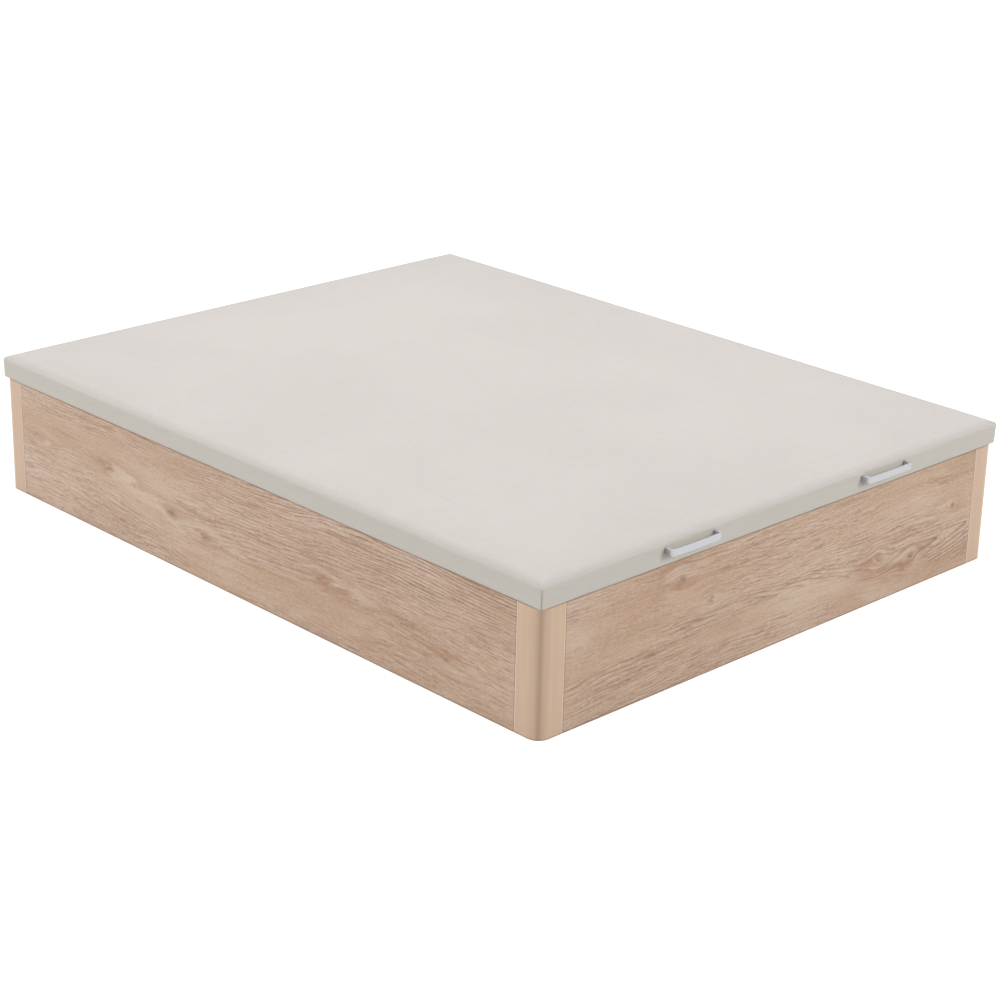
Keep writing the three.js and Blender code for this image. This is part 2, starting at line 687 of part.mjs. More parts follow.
function buildLinkage(side, hand) {
  const plate = (name, shape, inner, outer, material) =>
    place(`${name}_${hand}`, uprightPlate(shape, side, inner, outer), material);
  plate('base_plate', basePlateShape(), basePlateInner, basePlateOuter, linkSteel);
  plate('lid_plate', lidPlateShape(), lidPlateInner, lidPlateOuter, linkSteel);

  const clear = PIN_RADIUS + FIT;
  const longHoles = [
    { at: longFoot, clear },
    { at: longHead, clear },
    { at: springHead, clear: STUD_RADIUS + FIT },
  ];
  const longArm = armShape(longFoot, longHead, LONG_ARM_END, longHoles);
  plate('long_arm', longArm, longArmInner, longArmOuter, linkSteel);
  const shortHoles = [
    { at: shortFoot, clear },
    { at: shortHead, clear },
  ];
  const shortArm = armShape(shortFoot, shortHead, SHORT_ARM_END, shortHoles);
  plate('short_arm', shortArm, shortArmInner, shortArmOuter, linkSteel);

  const pin = (name, profile, at) => place(`${name}_${hand}`, crossPin(profile, at, side), pinSteel);
  pin('long_arm_foot_pin', pinProfile(basePlateOuter, basePlateInner, longArmOuter, longArmInner, true), longFoot);
  pin('short_arm_foot_pin', pinProfile(basePlateOuter, basePlateInner, shortArmOuter, shortArmInner, false), shortFoot);
  pin('long_arm_head_pin', pinProfile(lidPlateOuter, lidPlateInner, longArmOuter, longArmInner, false), longHead);
  const rivet = [
    [lidPlateOuter, 0],
    [lidPlateOuter, PIN_SHANK],
    [lidPlateInner - FIT, PIN_SHANK],
    [lidPlateInner - FIT, PIN_HEAD],
    [lidPlateInner - FIT - PIN_HEAD_HEIGHT, PIN_HEAD - PIN_HEAD_CHAMFER],
    [lidPlateInner - FIT - PIN_HEAD_HEIGHT, 0],
  ];
  pin('short_arm_head_rivet', rivet, shortHead);

  const eyeOuter = springMiddle + EYE_WIDTH / 2;
  const eyeInner = springMiddle - EYE_WIDTH / 2;
  const footStud = [
    [basePlateOuter, 0],
    [basePlateOuter, STUD_RADIUS],
    [basePlateInner - FIT, STUD_RADIUS],
    [basePlateInner - FIT, STUD_COLLAR],
    [eyeOuter + FIT, STUD_COLLAR],
    [eyeOuter + FIT, STUD_RADIUS],
    [eyeInner - FIT, STUD_RADIUS],
    [eyeInner - FIT, STUD_COLLAR],
    [eyeInner - FIT - PIN_HEAD_HEIGHT, STUD_COLLAR - PIN_HEAD_CHAMFER],
    [eyeInner - FIT - PIN_HEAD_HEIGHT, 0],
  ];
  pin('spring_foot_stud', footStud, springFoot);
  const headStud = [
    [longArmOuter, 0],
    [longArmOuter, STUD_RADIUS],
    [longArmInner - FIT, STUD_RADIUS],
    [longArmInner - FIT, STUD_COLLAR],
    [eyeOuter + FIT, STUD_COLLAR],
    [eyeOuter + FIT, 0],
  ];
  pin('spring_head_stud', headStud, springHead);
  buildGasSpring(side, hand, eyeInner, eyeOuter);
}

// Gas spring: the rod turns on the base plate's stud, and the cylinder slides on it towards the arm.
// Both are turned along +Y from the foot pivot, then swung into line with the two pivots.
function buildGasSpring(side, hand, eyeInner, eyeOuter) {
  const span = springHead.distanceTo(springFoot);
  const angle = Math.atan2(springHead.y - springFoot.y, springHead.x - springFoot.x);
  const mouth = NECK_LENGTH + ROD_SHOWING;
  const cylinderEnd = span - NECK_LENGTH;
  const boreEnd = cylinderEnd - BORE_END_WALL;
  const rodEnd = boreEnd - ROD_END_GAP;
  const eye = (along) => {
    const geometry = new THREE.CylinderGeometry(EYE_RADIUS, EYE_RADIUS, eyeOuter - eyeInner, SMALL_ROUND);
    geometry.rotateZ(Math.PI / 2);
    geometry.translate(0, along, 0);
    return geometry;
  };
  const eyeHole = new THREE.CylinderGeometry(STUD_RADIUS + FIT, STUD_RADIUS + FIT, 2 * EYE_WIDTH, SMALL_ROUND);
  eyeHole.rotateZ(Math.PI / 2);

  const rod = turned(
    [
      [0, 0],
      [0, NECK_RADIUS],
      [NECK_LENGTH, NECK_RADIUS],
      [NECK_LENGTH, ROD_RADIUS],
      [rodEnd, ROD_RADIUS],
      [rodEnd, 0],
    ],
    SMALL_ROUND,
  );
  const cylinder = turned([
    [boreEnd, 0],
    [boreEnd, CYLINDER_BORE],
    [mouth, CYLINDER_BORE],
    [mouth, CYLINDER_RADIUS - CYLINDER_MOUTH_CHAMFER],
    [mouth + CYLINDER_MOUTH_CHAMFER, CYLINDER_RADIUS],
    [cylinderEnd - CYLINDER_END_CHAMFER, CYLINDER_RADIUS],
    [cylinderEnd, CYLINDER_RADIUS - CYLINDER_END_CHAMFER],
    [cylinderEnd, NECK_RADIUS],
    [span, NECK_RADIUS],
    [span, 0],
  ]);
  const seat = (geometry) => {
    geometry.rotateX(angle);
    geometry.translate(side * springMiddle, springFoot.x, springFoot.y);
    return geometry;
  };
  place(`gas_rod_${hand}`, seat(cut(join(rod, eye(0)), eyeHole)), satinChrome);
  place(`gas_cylinder_${hand}`, seat(join(cylinder, eye(span))), blackPaint);
}

buildBox();
buildFloor();
buildFrame();
buildBoard();
buildPadding();
buildCover();
buildHandles();
buildLinkage(-1, 'left');
buildLinkage(1, 'right');

// The origin is the middle of the whole outline on the floor, handles included
bed.position.y = HANDLE_REACH / 2;

export default bed;
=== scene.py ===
"""Looks of a lift-up storage bed base: finishes, the soft lid, screws and staples, light and camera."""

import json
import math

import bpy
from mathutils import Matrix, Vector, noise


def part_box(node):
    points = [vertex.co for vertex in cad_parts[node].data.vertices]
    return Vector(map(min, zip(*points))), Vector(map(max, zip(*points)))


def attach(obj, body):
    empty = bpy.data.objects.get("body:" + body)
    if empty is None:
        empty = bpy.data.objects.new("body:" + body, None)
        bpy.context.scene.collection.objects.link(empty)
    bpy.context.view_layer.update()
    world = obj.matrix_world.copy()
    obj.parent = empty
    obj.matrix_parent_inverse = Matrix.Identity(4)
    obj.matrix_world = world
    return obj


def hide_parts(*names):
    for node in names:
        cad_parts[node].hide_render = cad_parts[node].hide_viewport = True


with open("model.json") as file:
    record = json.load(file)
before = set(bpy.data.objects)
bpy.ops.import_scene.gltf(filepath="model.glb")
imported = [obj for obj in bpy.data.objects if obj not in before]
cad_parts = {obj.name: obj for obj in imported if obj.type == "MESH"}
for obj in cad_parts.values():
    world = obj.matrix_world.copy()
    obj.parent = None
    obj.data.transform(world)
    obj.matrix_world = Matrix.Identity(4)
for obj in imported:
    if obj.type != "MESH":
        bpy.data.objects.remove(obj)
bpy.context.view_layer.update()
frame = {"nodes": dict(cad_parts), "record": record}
nodes = frame["nodes"]

MM = 0.001

# Camera: place, direction and focal length in pixels, for a picture of 1000 by 1000 pixels
PICTURE = 1000
SENSOR = 36.0
CAMERA_FOCAL = 2445.5
CAMERA_AT = (-3.8522, -4.0162, 2.2236)
CAMERA_YAW = math.radians(44.102)
CAMERA_PITCH = math.radians(21.273)
CAMERA_ROLL = math.radians(1.3)

# Cover: cloth, roll of the top edge, fall of the top, corners, swelling and drawing-in of the sides, and hem
CLOTH = 1.2 * MM
ROLL_ACROSS = 28 * MM
ROLL_DOWN = 12 * MM
PILLOW_DROP = 5.6 * MM
PILLOW_REACH = 130 * MM
CORNER_RADIUS = 9 * MM
LEAST_RADIUS = 0.6 * MM
SIDE_SWELL = 0.9 * MM
DRAW_IN = 3 * MM
DRAW_SHARE = 0.55
FOLD_RADIUS = 1.5 * MM
HEM = 28 * MM

# Cover: ripples of the side, waves of its lower edge, dents of the top, and the shares of the lid's height
# below which the ripples fade out, the edge is wavy and the finer ripples show
SIDE_RIPPLE = 0.5 * MM
EDGE_WAVE = 0.7 * MM
TOP_DENT = 0.5 * MM
STILL_BELOW = 0.25
WAVY_BELOW = 0.3
FINE_BELOW = 0.45

# Cover: the crease at each corner and the soft lift beside it
PLEAT_DEPTH = 1.5 * MM
PLEAT_LIFT = 0.5 * MM
PLEAT_WIDTH = 0.8 * MM
PLEAT_BESIDE = 2.4 * PLEAT_WIDTH
PLEAT_SPREAD = 1.6 * PLEAT_WIDTH
PLEAT_HEIGHT = 46 * MM
PLEAT_FADE = 12 * MM

# Cover: rings of the mesh on the hem, as shares of its width, then steps round the fold, up the side, over
# the roll and round a corner, rings on the flat top, in millimetres from the side, and the grid inside them
HEM_RINGS = (1.0, 0.6, 0.25)
FOLD_STEPS = 3
SIDE_STEPS = 11
ROLL_STEPS = 8
CORNER_STEPS = 24
TOP_RINGS = (32, 38, 45, 52)
GRID_STEP = 12.5 * MM
GRID_INSET = 60 * MM

# Padding under the cover: its distance from the cover and the board, bevel of its lower edge, swelling as a
# share of the cover's, and the rings and steps of its mesh
FOAM_GAP = 1.9 * MM
BOARD_GAP = 0.3 * MM
FOAM_BEVEL = 1.5 * MM
FOAM_SWELL = 0.3
FOAM_SIDE_RINGS = (0.3, 0.6)
FOAM_ROLL_STEPS = 6
FOAM_STEPS_X = 24
FOAM_STEPS_Y = 30
FOAM_CORNER_STEPS = 6

# Light: the even fill, the lamps' power, the height they aim at, and the floor with its own glow
FILL = 0.42
LAMP_ABOVE = 38
LAMP_BESIDE = 585
LAMP_AIM = 0.2
FLOOR_REACH = 30.0
FLOOR_GAP = 0.4 * MM
FLOOR_COLOUR = (0.66, 0.66, 0.66, 1)
FLOOR_GLOW = 0.71
WHITE = (1, 1, 1, 1)

# Box: its top, the inner edges of the posts, the middle between them, and the width of the painted highlight
# along their edges
_, panel_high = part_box("side_panel_left")
_, post_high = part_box("post_foot_left")
PANEL_TOP = panel_high.z
MIDDLE_Y = 11 * MM
POST_X = -post_high.x
POST_Y = MIDDLE_Y - post_high.y
POST_HIGHLIGHT_WIDTH = 2.6 * MM

# Staples of the hem
STAPLE_PITCH = 62 * MM
STAPLE_WIDTH = 11 * MM
STAPLE_WIRE = 0.6 * MM
STAPLE_SIDES = 6
STAPLE_INSET = 19 * MM
STAPLE_SINK = 0.05 * MM

# Screws, with their places on the plates of the linkage: along the bed and height, in millimetres
SCREW_RADIUS = 4.2 * MM
SCREW_HEIGHT = 2.4 * MM
SCREW_STEPS = 12
BRACKET_SHEET = 2.5 * MM
BRACKET_SCREW_EDGE = 18 * MM
BRACKET_SCREW_NEAR = 26 * MM
BRACKET_SCREW_FAR = 84 * MM
SIDE_LEDGER_SCREWS = 6
END_LEDGER_SCREWS = 4
HANDLE_BOLT_INSET = 3.3 * MM
BASE_PLATE_SCREWS = [(363, 129), (452, 174), (568, 204), (722.6, 149.5), (622, 80), (480, 108.6)]
LID_PLATE_SCREWS = [(578, 312), (652, 312), (726, 312), (800, 312), (874, 312)]


def srgb(red, green, blue):
    """A colour written as 0 to 255, as the linear colour that a shader takes."""
    def linear(part):
        part /= 255
        return part / 12.92 if part <= 0.04045 else ((part + 0.055) / 1.055) ** 2.4

    return (linear(red), linear(green), linear(blue), 1.0)


# Colours of the oak decor, of the painted shade along its lowest and highest strips, and of the bare board
# under it
OAK_DEEP = srgb(188, 154, 125)
OAK_BASE = srgb(200, 169, 143)
OAK_PALE = srgb(209, 184, 161)
OAK_ROSE = srgb(207, 179, 160)
OAK_LINE = srgb(138, 104, 80)
OAK_PORE = srgb(155, 121, 97)
OAK_FLECK = srgb(227, 208, 191)
OAK_STREAK = srgb(173, 133, 104)
OAK_KNOT = srgb(140, 101, 76)
OAK_RIM_SHADE = srgb(112, 92, 76)
OAK_BLEACHED = srgb(220, 199, 181)
OAK_SHADED = srgb(176, 144, 117)
BARE_BOARD = srgb(168, 138, 104)

# Colours of the posts: their foil, the painted highlight along its edges, the painted shade on its bend, and
# their cut ends
FOIL_DARK = srgb(211, 182, 156)
FOIL_LIGHT = srgb(216, 187, 161)
FOIL_SPECK = srgb(198, 168, 143)
FOIL_EDGE_HIGHLIGHT = srgb(244, 228, 212)
FOIL_BEND_SHADE = srgb(179, 150, 125)
CUT_DARK = srgb(140, 112, 84)
CUT_LIGHT = srgb(178, 150, 118)

# Colours of the cloth: on the top, of the painted shade over the roll, on the sides with painted shade in it,
# and of its threads
TOP_SHADED = srgb(217, 211, 205)
TOP_BASE = srgb(222, 215, 210)
CLOTH_ROLL_SHADE = srgb(207, 201, 196)
CLOTH_SIDE_TONE_AND_SHADE = srgb(208, 203, 193)
SLUB_DARK = srgb(196, 191, 182)
SLUB_PALE = srgb(236, 232, 226)
THREAD_GAP = srgb(178, 173, 164)

# Colours inside: foam, fibreboard and pine
FOAM_CELL = srgb(205, 197, 178)
FOAM_WALL = srgb(236, 230, 214)
FIBRE_DARK = srgb(166, 136, 104)
FIBRE_LIGHT = srgb(207, 180, 146)
FIBRE_PATCH = srgb(180, 149, 116)
PINE_PALE = srgb(225, 198, 152)
PINE_RING = srgb(196, 152, 100)
PINE_FIBRE = srgb(205, 170, 122)

# Colours of the metals and their coats
COAT_GREY = srgb(92, 95, 98)
COAT_GREY_DEEP = srgb(80, 83, 86)
COAT_BLACK = srgb(34, 34, 36)
COAT_BLACK_DEEP = srgb(26, 26, 28)
ZINC_LIGHT = srgb(206, 208, 211)
ZINC_DARK = srgb(192, 194, 199)
PIN_LIGHT = srgb(186, 187, 190)
PIN_DARK = srgb(160, 161, 165)
ROD_LIGHT = srgb(214, 216, 220)
CHROME_DARK = srgb(177, 178, 181)
CHROME_LIGHT = srgb(196, 197, 200)
POLISH_HAZE = srgb(236, 237, 240)

# Height of the painted shade along the foil's lowest and highest strips, and the normal's Z above which a
# face is no longer upright, or is level
RIM = 3 * MM
SLOPE = 0.5
LEVEL = 0.9

# Oak: waves that bend the grain, each with its features to a metre of length and of height, and its reach
OAK_WAVES = ((1.3, 4.0, 0.085), (4.0, 15.0, 0.019), (15.0, 60.0, 0.0045), (50.0, 150.0, 0.0016))

# Oak: spacing of the growth lines, length of their arches and bluntness of the arches' tips, in metres
RING_PITCH = 8.5 * MM
ARCH_PITCH = 0.19
ARCH_TIP = 10 * MM

# Oak: noise at which calm stretches begin and how soon they are full, and how far knots push the grain aside
CALM_AT = 0.47
CALM_STEP = 0.13
KNOT_PUSH = 0.85

# Cloth: the length after which the weave repeats
WEAVE_PITCH = 1.7 * MM

# Places of a Mix node's sockets for colours, whose names aren't unique
MIX_FACTOR = 0
MIX_A = 6
MIX_B = 7
MIX_RESULT = 2


class Graph:
    """The nodes of a material or of the world, with short calls to add and join them."""

    def __init__(self, name, tree=None, **shader):
        if tree is not None:
            self.tree = tree
            tree.nodes.clear()
            return
        self.material = bpy.data.materials.new(name)
        self.material.use_nodes = True
        self.tree = self.material.node_tree
        self.tree.nodes.clear()
        self.shader = self.add("ShaderNodeBsdfPrincipled")
        output = self.add("ShaderNodeOutputMaterial")
        self.put(output.inputs["Surface"], self.shader.outputs["BSDF"])
        for key, value in shader.items():
            self.put(self.shader.inputs[key.replace("_", " ")], value)

    def add(self, kind, **settings):
        node = self.tree.nodes.new(kind)
        for key, value in settings.items():
            setattr(node, key, value)
        return node

    def put(self, socket, value):
        """Joins the socket to another one, or gives it a fixed value."""
        if isinstance(value, bpy.types.NodeSocket):
            self.tree.links.new(value, socket)
        else:
            socket.default_value = value

    def math(self, operation, a, b=0.0, c=0.0, clamp=False):
        node = self.add("ShaderNodeMath", operation=operation, use_clamp=clamp)
        for socket, value in zip(node.inputs, (a, b, c)):
            self.put(socket, value)
        return node.outputs[0]

    def vector(self, x, y, z):
        node = self.add("ShaderNodeCombineXYZ")
        for socket, value in zip(node.inputs, (x, y, z)):
            self.put(socket, value)
        return node.outputs[0]

    def parts(self, vector):
        node = self.add("ShaderNodeSeparateXYZ")
        self.put(node.inputs[0], vector)
        return node.outputs[0], node.outputs[1], node.outputs[2]

    def join(self, operation, a, b):
        """Two vectors, joined part by part."""
        node = self.add("ShaderNodeVectorMath", operation=operation)
        self.put(node.inputs[0], a)
        self.put(node.inputs[1], b)
        return node.outputs[0]

    def place(self):
        return self.add("ShaderNodeTexCoord").outputs["Object"]

    def normal(self):
        return self.add("ShaderNodeTexCoord").outputs["Normal"]

    def noise(self, vector, scale=1.0, detail=2.0, roughness=0.5):
        node = self.add("ShaderNodeTexNoise")
        self.put(node.inputs["Vector"], vector)
        self.put(node.inputs["Scale"], scale)
        self.put(node.inputs["Detail"], detail)
        self.put(node.inputs["Roughness"], roughness)
        return node.outputs["Fac"]

    def stretched_noise(self, per_x, per_y, per_z, detail=2.0):
        """Noise with this many features to a metre along each axis."""
        return self.noise(self.join("MULTIPLY", self.place(), (per_x, per_y, per_z)), detail=detail)

    def span(self, value, low, high, to_low=0.0, to_high=1.0):
        """Eases from one number to the other while the value goes from low to high."""
        node = self.add("ShaderNodeMapRange", interpolation_type="SMOOTHSTEP")
        names = ("Value", "From Min", "From Max", "To Min", "To Max")
        for key, number in zip(names, (value, low, high, to_low, to_high)):
            self.put(node.inputs[key], number)
        return node.outputs["Result"]

    def ramp(self, value, stops):
        """Blends colours that each stand at a place between 0 and 1."""
        node = self.add("ShaderNodeValToRGB")
        self.put(node.inputs["Fac"], value)
        marks = node.color_ramp.elements
        while len(marks) < len(stops):
            marks.new(0.5)
        for mark, (position, colour) in zip(marks, stops):
            mark.position = position
            mark.color = colour
        return node.outputs["Color"]

    def mix(self, factor, a, b):
        node = self.add("ShaderNodeMix", data_type="RGBA")
        self.put(node.inputs[MIX_FACTOR], factor)
        self.put(node.inputs[MIX_A], a)
        self.put(node.inputs[MIX_B], b)
        return node.outputs[MIX_RESULT]

    def tint(self, colour, factor, share, towards):
        """Takes the colour by this share of the factor towards another one."""
        return self.mix(self.math("MULTIPLY", factor, share), colour, towards)

    def bump(self, height, distance, strength=1.0):
        node = self.add("ShaderNodeBump")
        self.put(node.inputs["Height"], height)
        self.put(node.inputs["Distance"], distance)
        self.put(node.inputs["Strength"], strength)
        self.put(self.shader.inputs["Normal"], node.outputs["Normal"])

    def finish(self, colour, roughness=None):
        self.put(self.shader.inputs["Base Color"], colour)
        if roughness is not None:
            self.put(self.shader.inputs["Roughness"], roughness)
        return self.material


def painted_rim_shade(g, z, up):
    """1 on the lowest and highest strip of an upright face, where shade is painted."""
    below_top = g.math("SUBTRACT", PANEL_TOP, z)
    strip = g.math("LESS_THAN", g.math("MULTIPLY", z, below_top), RIM * PANEL_TOP)
    return g.math("MULTIPLY", strip, g.math("LESS_THAN", g.math("ABSOLUTE", up), SLOPE))


def bend_grain(g, grain, along, z, knots):
    """The height, bent by slow waves and fine wobble and pushed aside round each knot.

    Comes with the knots' soft halo and with their ragged core.
    """
    bent = z
    for per_length, per_height, reach in OAK_WAVES:
        wave = g.math("SUBTRACT", grain(z, per_length, per_height), 0.5)
        bent = g.math("MULTIPLY_ADD", wave, reach, bent)
    halo = 0.0
    core = 0.0
    for at, height, length, size in knots:
        off_along = g.math("DIVIDE", g.math("SUBTRACT", along, at), length)
        off_up = g.math("DIVIDE", g.math("SUBTRACT", z, height), size)
        far = g.math("MULTIPLY_ADD", off_up, off_up, g.math("MULTIPLY", off_along, off_along))
        near = g.math("EXPONENT", g.math("MULTIPLY", far, -1.0))
        bent = g.math("MULTIPLY_ADD", g.math("MULTIPLY", off_up, near), -KNOT_PUSH * size, bent)
        halo = g.math("ADD", halo, g.math("EXPONENT", g.math("MULTIPLY", far, -0.4)))
        ragged = g.span(grain(z, 60.0, 130.0, 3.0, offset=2.0), 0.35, 0.6)
        core = g.math("MULTIPLY_ADD", g.math("POWER", near, 7.0), ragged, core)
    return bent, halo, core


def growth_lines(g, grain, along, seeded, bent, heart, lined_at, calm):
    """Broken lines in nested arches round the heart, strongest at one height and weak where it is calm."""
    slow = g.noise(g.vector(g.math("MULTIPLY", along, 0.9), seeded, 3.7), detail=1.0)
    drift = g.math("SUBTRACT", slow, 0.5)
    side = g.math("SUBTRACT", bent, g.math("MULTIPLY_ADD", drift, 0.18, heart))
    arch = g.math("SQRT", g.math("MULTIPLY_ADD", side, side, ARCH_TIP**2))
    phase = g.math("MULTIPLY_ADD", arch, 1 / RING_PITCH, g.math("DIVIDE", along, ARCH_PITCH))
    phase = g.math("MULTIPLY_ADD", grain(bent, 2.5, 12.0, offset=8.0), 5.0, phase)
    line = g.math("POWER", g.math("FRACT", phase), 4.0)
    broken = g.span(grain(bent, 4.0, 90.0, 3.0, offset=1.0), 0.26, 0.46)
    strong = g.span(grain(bent, 1.2, 6.0, offset=5.0), 0.4, 0.6, 0.35, 1.0)
    lines = g.math("MULTIPLY", g.math("MULTIPLY", line, broken), strong)
    lines = g.math("MULTIPLY", lines, g.math("MULTIPLY_ADD", calm, -0.8, 1.0))
    off_height = g.math("ABSOLUTE", g.math("SUBTRACT", bent, lined_at))
    return g.math("MULTIPLY", lines, g.span(off_height, 0.03, 0.15, 1.4, 0.45), clamp=True)


def oak(name, along_x, heart, seed, knots, lined_at, calm_at=CALM_AT):
    """Oak decor with its grain along X or Y.

    The growth lines arch round the height of the heart and are strongest at the height lined_at. A lower
    calm_at gives more calm stretches. Each knot has its place along, height, half length and half height.
    """
    g = Graph(name, Specular_IOR_Level=0.35)
    x, y, z = g.parts(g.place())
    along, depth = (x, y) if along_x else (y, x)
    seeded = g.math("MULTIPLY_ADD", depth, 0.4, seed)

    def grain(up, per_length, per_height, detail=2.0, offset=0.0):
        """Noise with this many features to a metre of length and of height, moved by the offset."""
        point = g.vector(g.math("MULTIPLY", along, per_length), g.math("MULTIPLY", up, per_height), seeded)
        if offset:
            point = g.join("ADD", point, (offset, offset, offset))
        return g.noise(point, detail=detail)

    bent, halo, core = bend_grain(g, grain, along, z, knots)
    calm = g.span(grain(bent, 1.6, 8.5, offset=3.0), calm_at, calm_at + CALM_STEP)
    lines = growth_lines(g, grain, along, seeded, bent, heart, lined_at, calm)

    # Dashes of pores and pale flecks along the grain, in three sizes
    dashes = grain(bent, 14.0, 330.0, 3.0)
    specks = grain(bent, 40.0, 330.0)
    sand = grain(bent, 110.0, 330.0, offset=21.0)
    busy = g.math("MULTIPLY_ADD", calm, -0.68, 1.0)
    dark_dashes = g.math("ADD", g.span(dashes, 0.53, 0.66), g.span(specks, 0.56, 0.7))
    pale_dashes = g.math("ADD", g.span(dashes, 0.46, 0.34), g.span(specks, 0.42, 0.3))
    pores = g.math("MULTIPLY", dark_dashes, busy, clamp=True)
    flecks = g.math("MULTIPLY", pale_dashes, busy, clamp=True)

    # Bands, patches and streaks of colour, and the dashes and lines on them
    bands = grain(bent, 0.9, 13.0, 3.0, offset=11.0)
    patches = grain(bent, 3.5, 9.0, offset=17.0)
    streaks = g.span(grain(bent, 1.9, 28.0, offset=14.0), 0.6, 0.72)
    colour = g.ramp(bands, [(0.3, OAK_DEEP), (0.5, OAK_BASE), (0.7, OAK_PALE)])
    colour = g.tint(colour, g.span(patches, 0.52, 0.68), 0.5, OAK_BLEACHED)
    colour = g.tint(colour, g.span(patches, 0.48, 0.33), 0.5, OAK_SHADED)
    colour = g.tint(colour, busy, 0.45, OAK_ROSE)
    colour = g.tint(colour, streaks, 0.5, OAK_STREAK)
    colour = g.tint(colour, pores, 0.5, OAK_PORE)
    colour = g.tint(colour, flecks, 0.42, OAK_FLECK)
    colour = g.tint(colour, lines, 0.85, OAK_LINE)
    colour = g.tint(colour, g.span(sand, 0.52, 0.64), 0.2, OAK_FLECK)
    colour = g.tint(colour, g.span(sand, 0.47, 0.36), 0.16, OAK_PORE)

    # Dark and pale smudges round the knots, and their cores
    blotch = g.span(grain(bent, 9.0, 40.0, 3.0, offset=25.0), 0.42, 0.6)
    dark = g.math("MULTIPLY", halo, g.math("MULTIPLY", blotch, 0.55), clamp=True)
    pale = g.math("MULTIPLY", halo, g.math("MULTIPLY_ADD", blotch, -0.4, 0.4), clamp=True)
    colour = g.mix(dark, colour, OAK_STREAK)
    colour = g.mix(pale, colour, OAK_BLEACHED)
    colour = g.tint(colour, core, 0.7, OAK_KNOT)

    # The top edging is plainer, painted shade darkens the foil's lowest and highest strips, and the underside
    # is bare board
    _, _, up = g.parts(g.normal())
    colour = g.tint(colour, g.math("GREATER_THAN", up, SLOPE), 0.8, OAK_BASE)
    colour = g.tint(colour, painted_rim_shade(g, z, up), 0.5, OAK_RIM_SHADE)
    colour = g.mix(g.math("LESS_THAN", up, -LEVEL), colour, BARE_BOARD)
    relief = g.math("MULTIPLY_ADD", pores, 0.5, lines)
    g.bump(g.math("SUBTRACT", 1.0, relief), 0.12 * MM, 0.5)
    return g.finish(colour, g.math("MULTIPLY_ADD", relief, 0.14, 0.5))


def tan_post():
    """Plain tan foil on the posts: painted highlight on the upright edges, painted shade on the bend and
    rims, and raw fibreboard on the cut ends.
    """
    g = Graph("tan_post", Specular_IOR_Level=0.4)
    x, y, z = g.parts(g.place())
    streak = g.stretched_noise(80.0, 80.0, 5.0)
    speck = g.noise(g.place(), 700.0)
    foil = g.mix(g.span(streak, 0.3, 0.7), FOIL_DARK, FOIL_LIGHT)
    foil = g.tint(foil, speck, 0.15, FOIL_SPECK)
    off_middle = g.math("ABSOLUTE", g.math("SUBTRACT", y, MIDDLE_Y))
    # Painted highlight: a pale strip of foil along each post's upright edges
    near_x = g.math("LESS_THAN", g.math("ABSOLUTE", x), POST_X + POST_HIGHLIGHT_WIDTH)
    near_y = g.math("LESS_THAN", off_middle, POST_Y + POST_HIGHLIGHT_WIDTH)
    foil = g.tint(foil, g.math("MAXIMUM", near_x, near_y), 0.8, FOIL_EDGE_HIGHLIGHT)
    nx, ny, up = g.parts(g.normal())

    # Painted shade: the bend is darkened most where it faces halfway between the two sides
    turned = g.math("ABSOLUTE", g.math("MULTIPLY", g.math("MULTIPLY", nx, ny), 2.0))
    foil = g.tint(foil, g.math("POWER", turned, 12.0), 0.75, FOIL_BEND_SHADE)
    # Painted shade on the post's lowest and highest strips, as on the panels
    foil = g.tint(foil, painted_rim_shade(g, z, up), 0.4, OAK_RIM_SHADE)
    cut = g.math("GREATER_THAN", g.math("ABSOLUTE", up), LEVEL)
    chips = g.ramp(g.noise(g.place(), 1500.0, 3.0), [(0.35, CUT_DARK), (0.65, CUT_LIGHT)])
    g.bump(speck, 0.03 * MM, 0.4)
    return g.finish(g.mix(cut, foil, chips), g.math("MULTIPLY_ADD", cut, 0.4, 0.4))


def weave(g, p, q):
    """Height of a plain weave whose threads run along p and q."""
    turns = 2 * math.pi / WEAVE_PITCH
    a = g.math("SINE", g.math("MULTIPLY", p, turns))
    b = g.math("SINE", g.math("MULTIPLY", q, turns))
    return g.math("MULTIPLY_ADD", g.math("MULTIPLY", a, b), 0.5, 0.5)


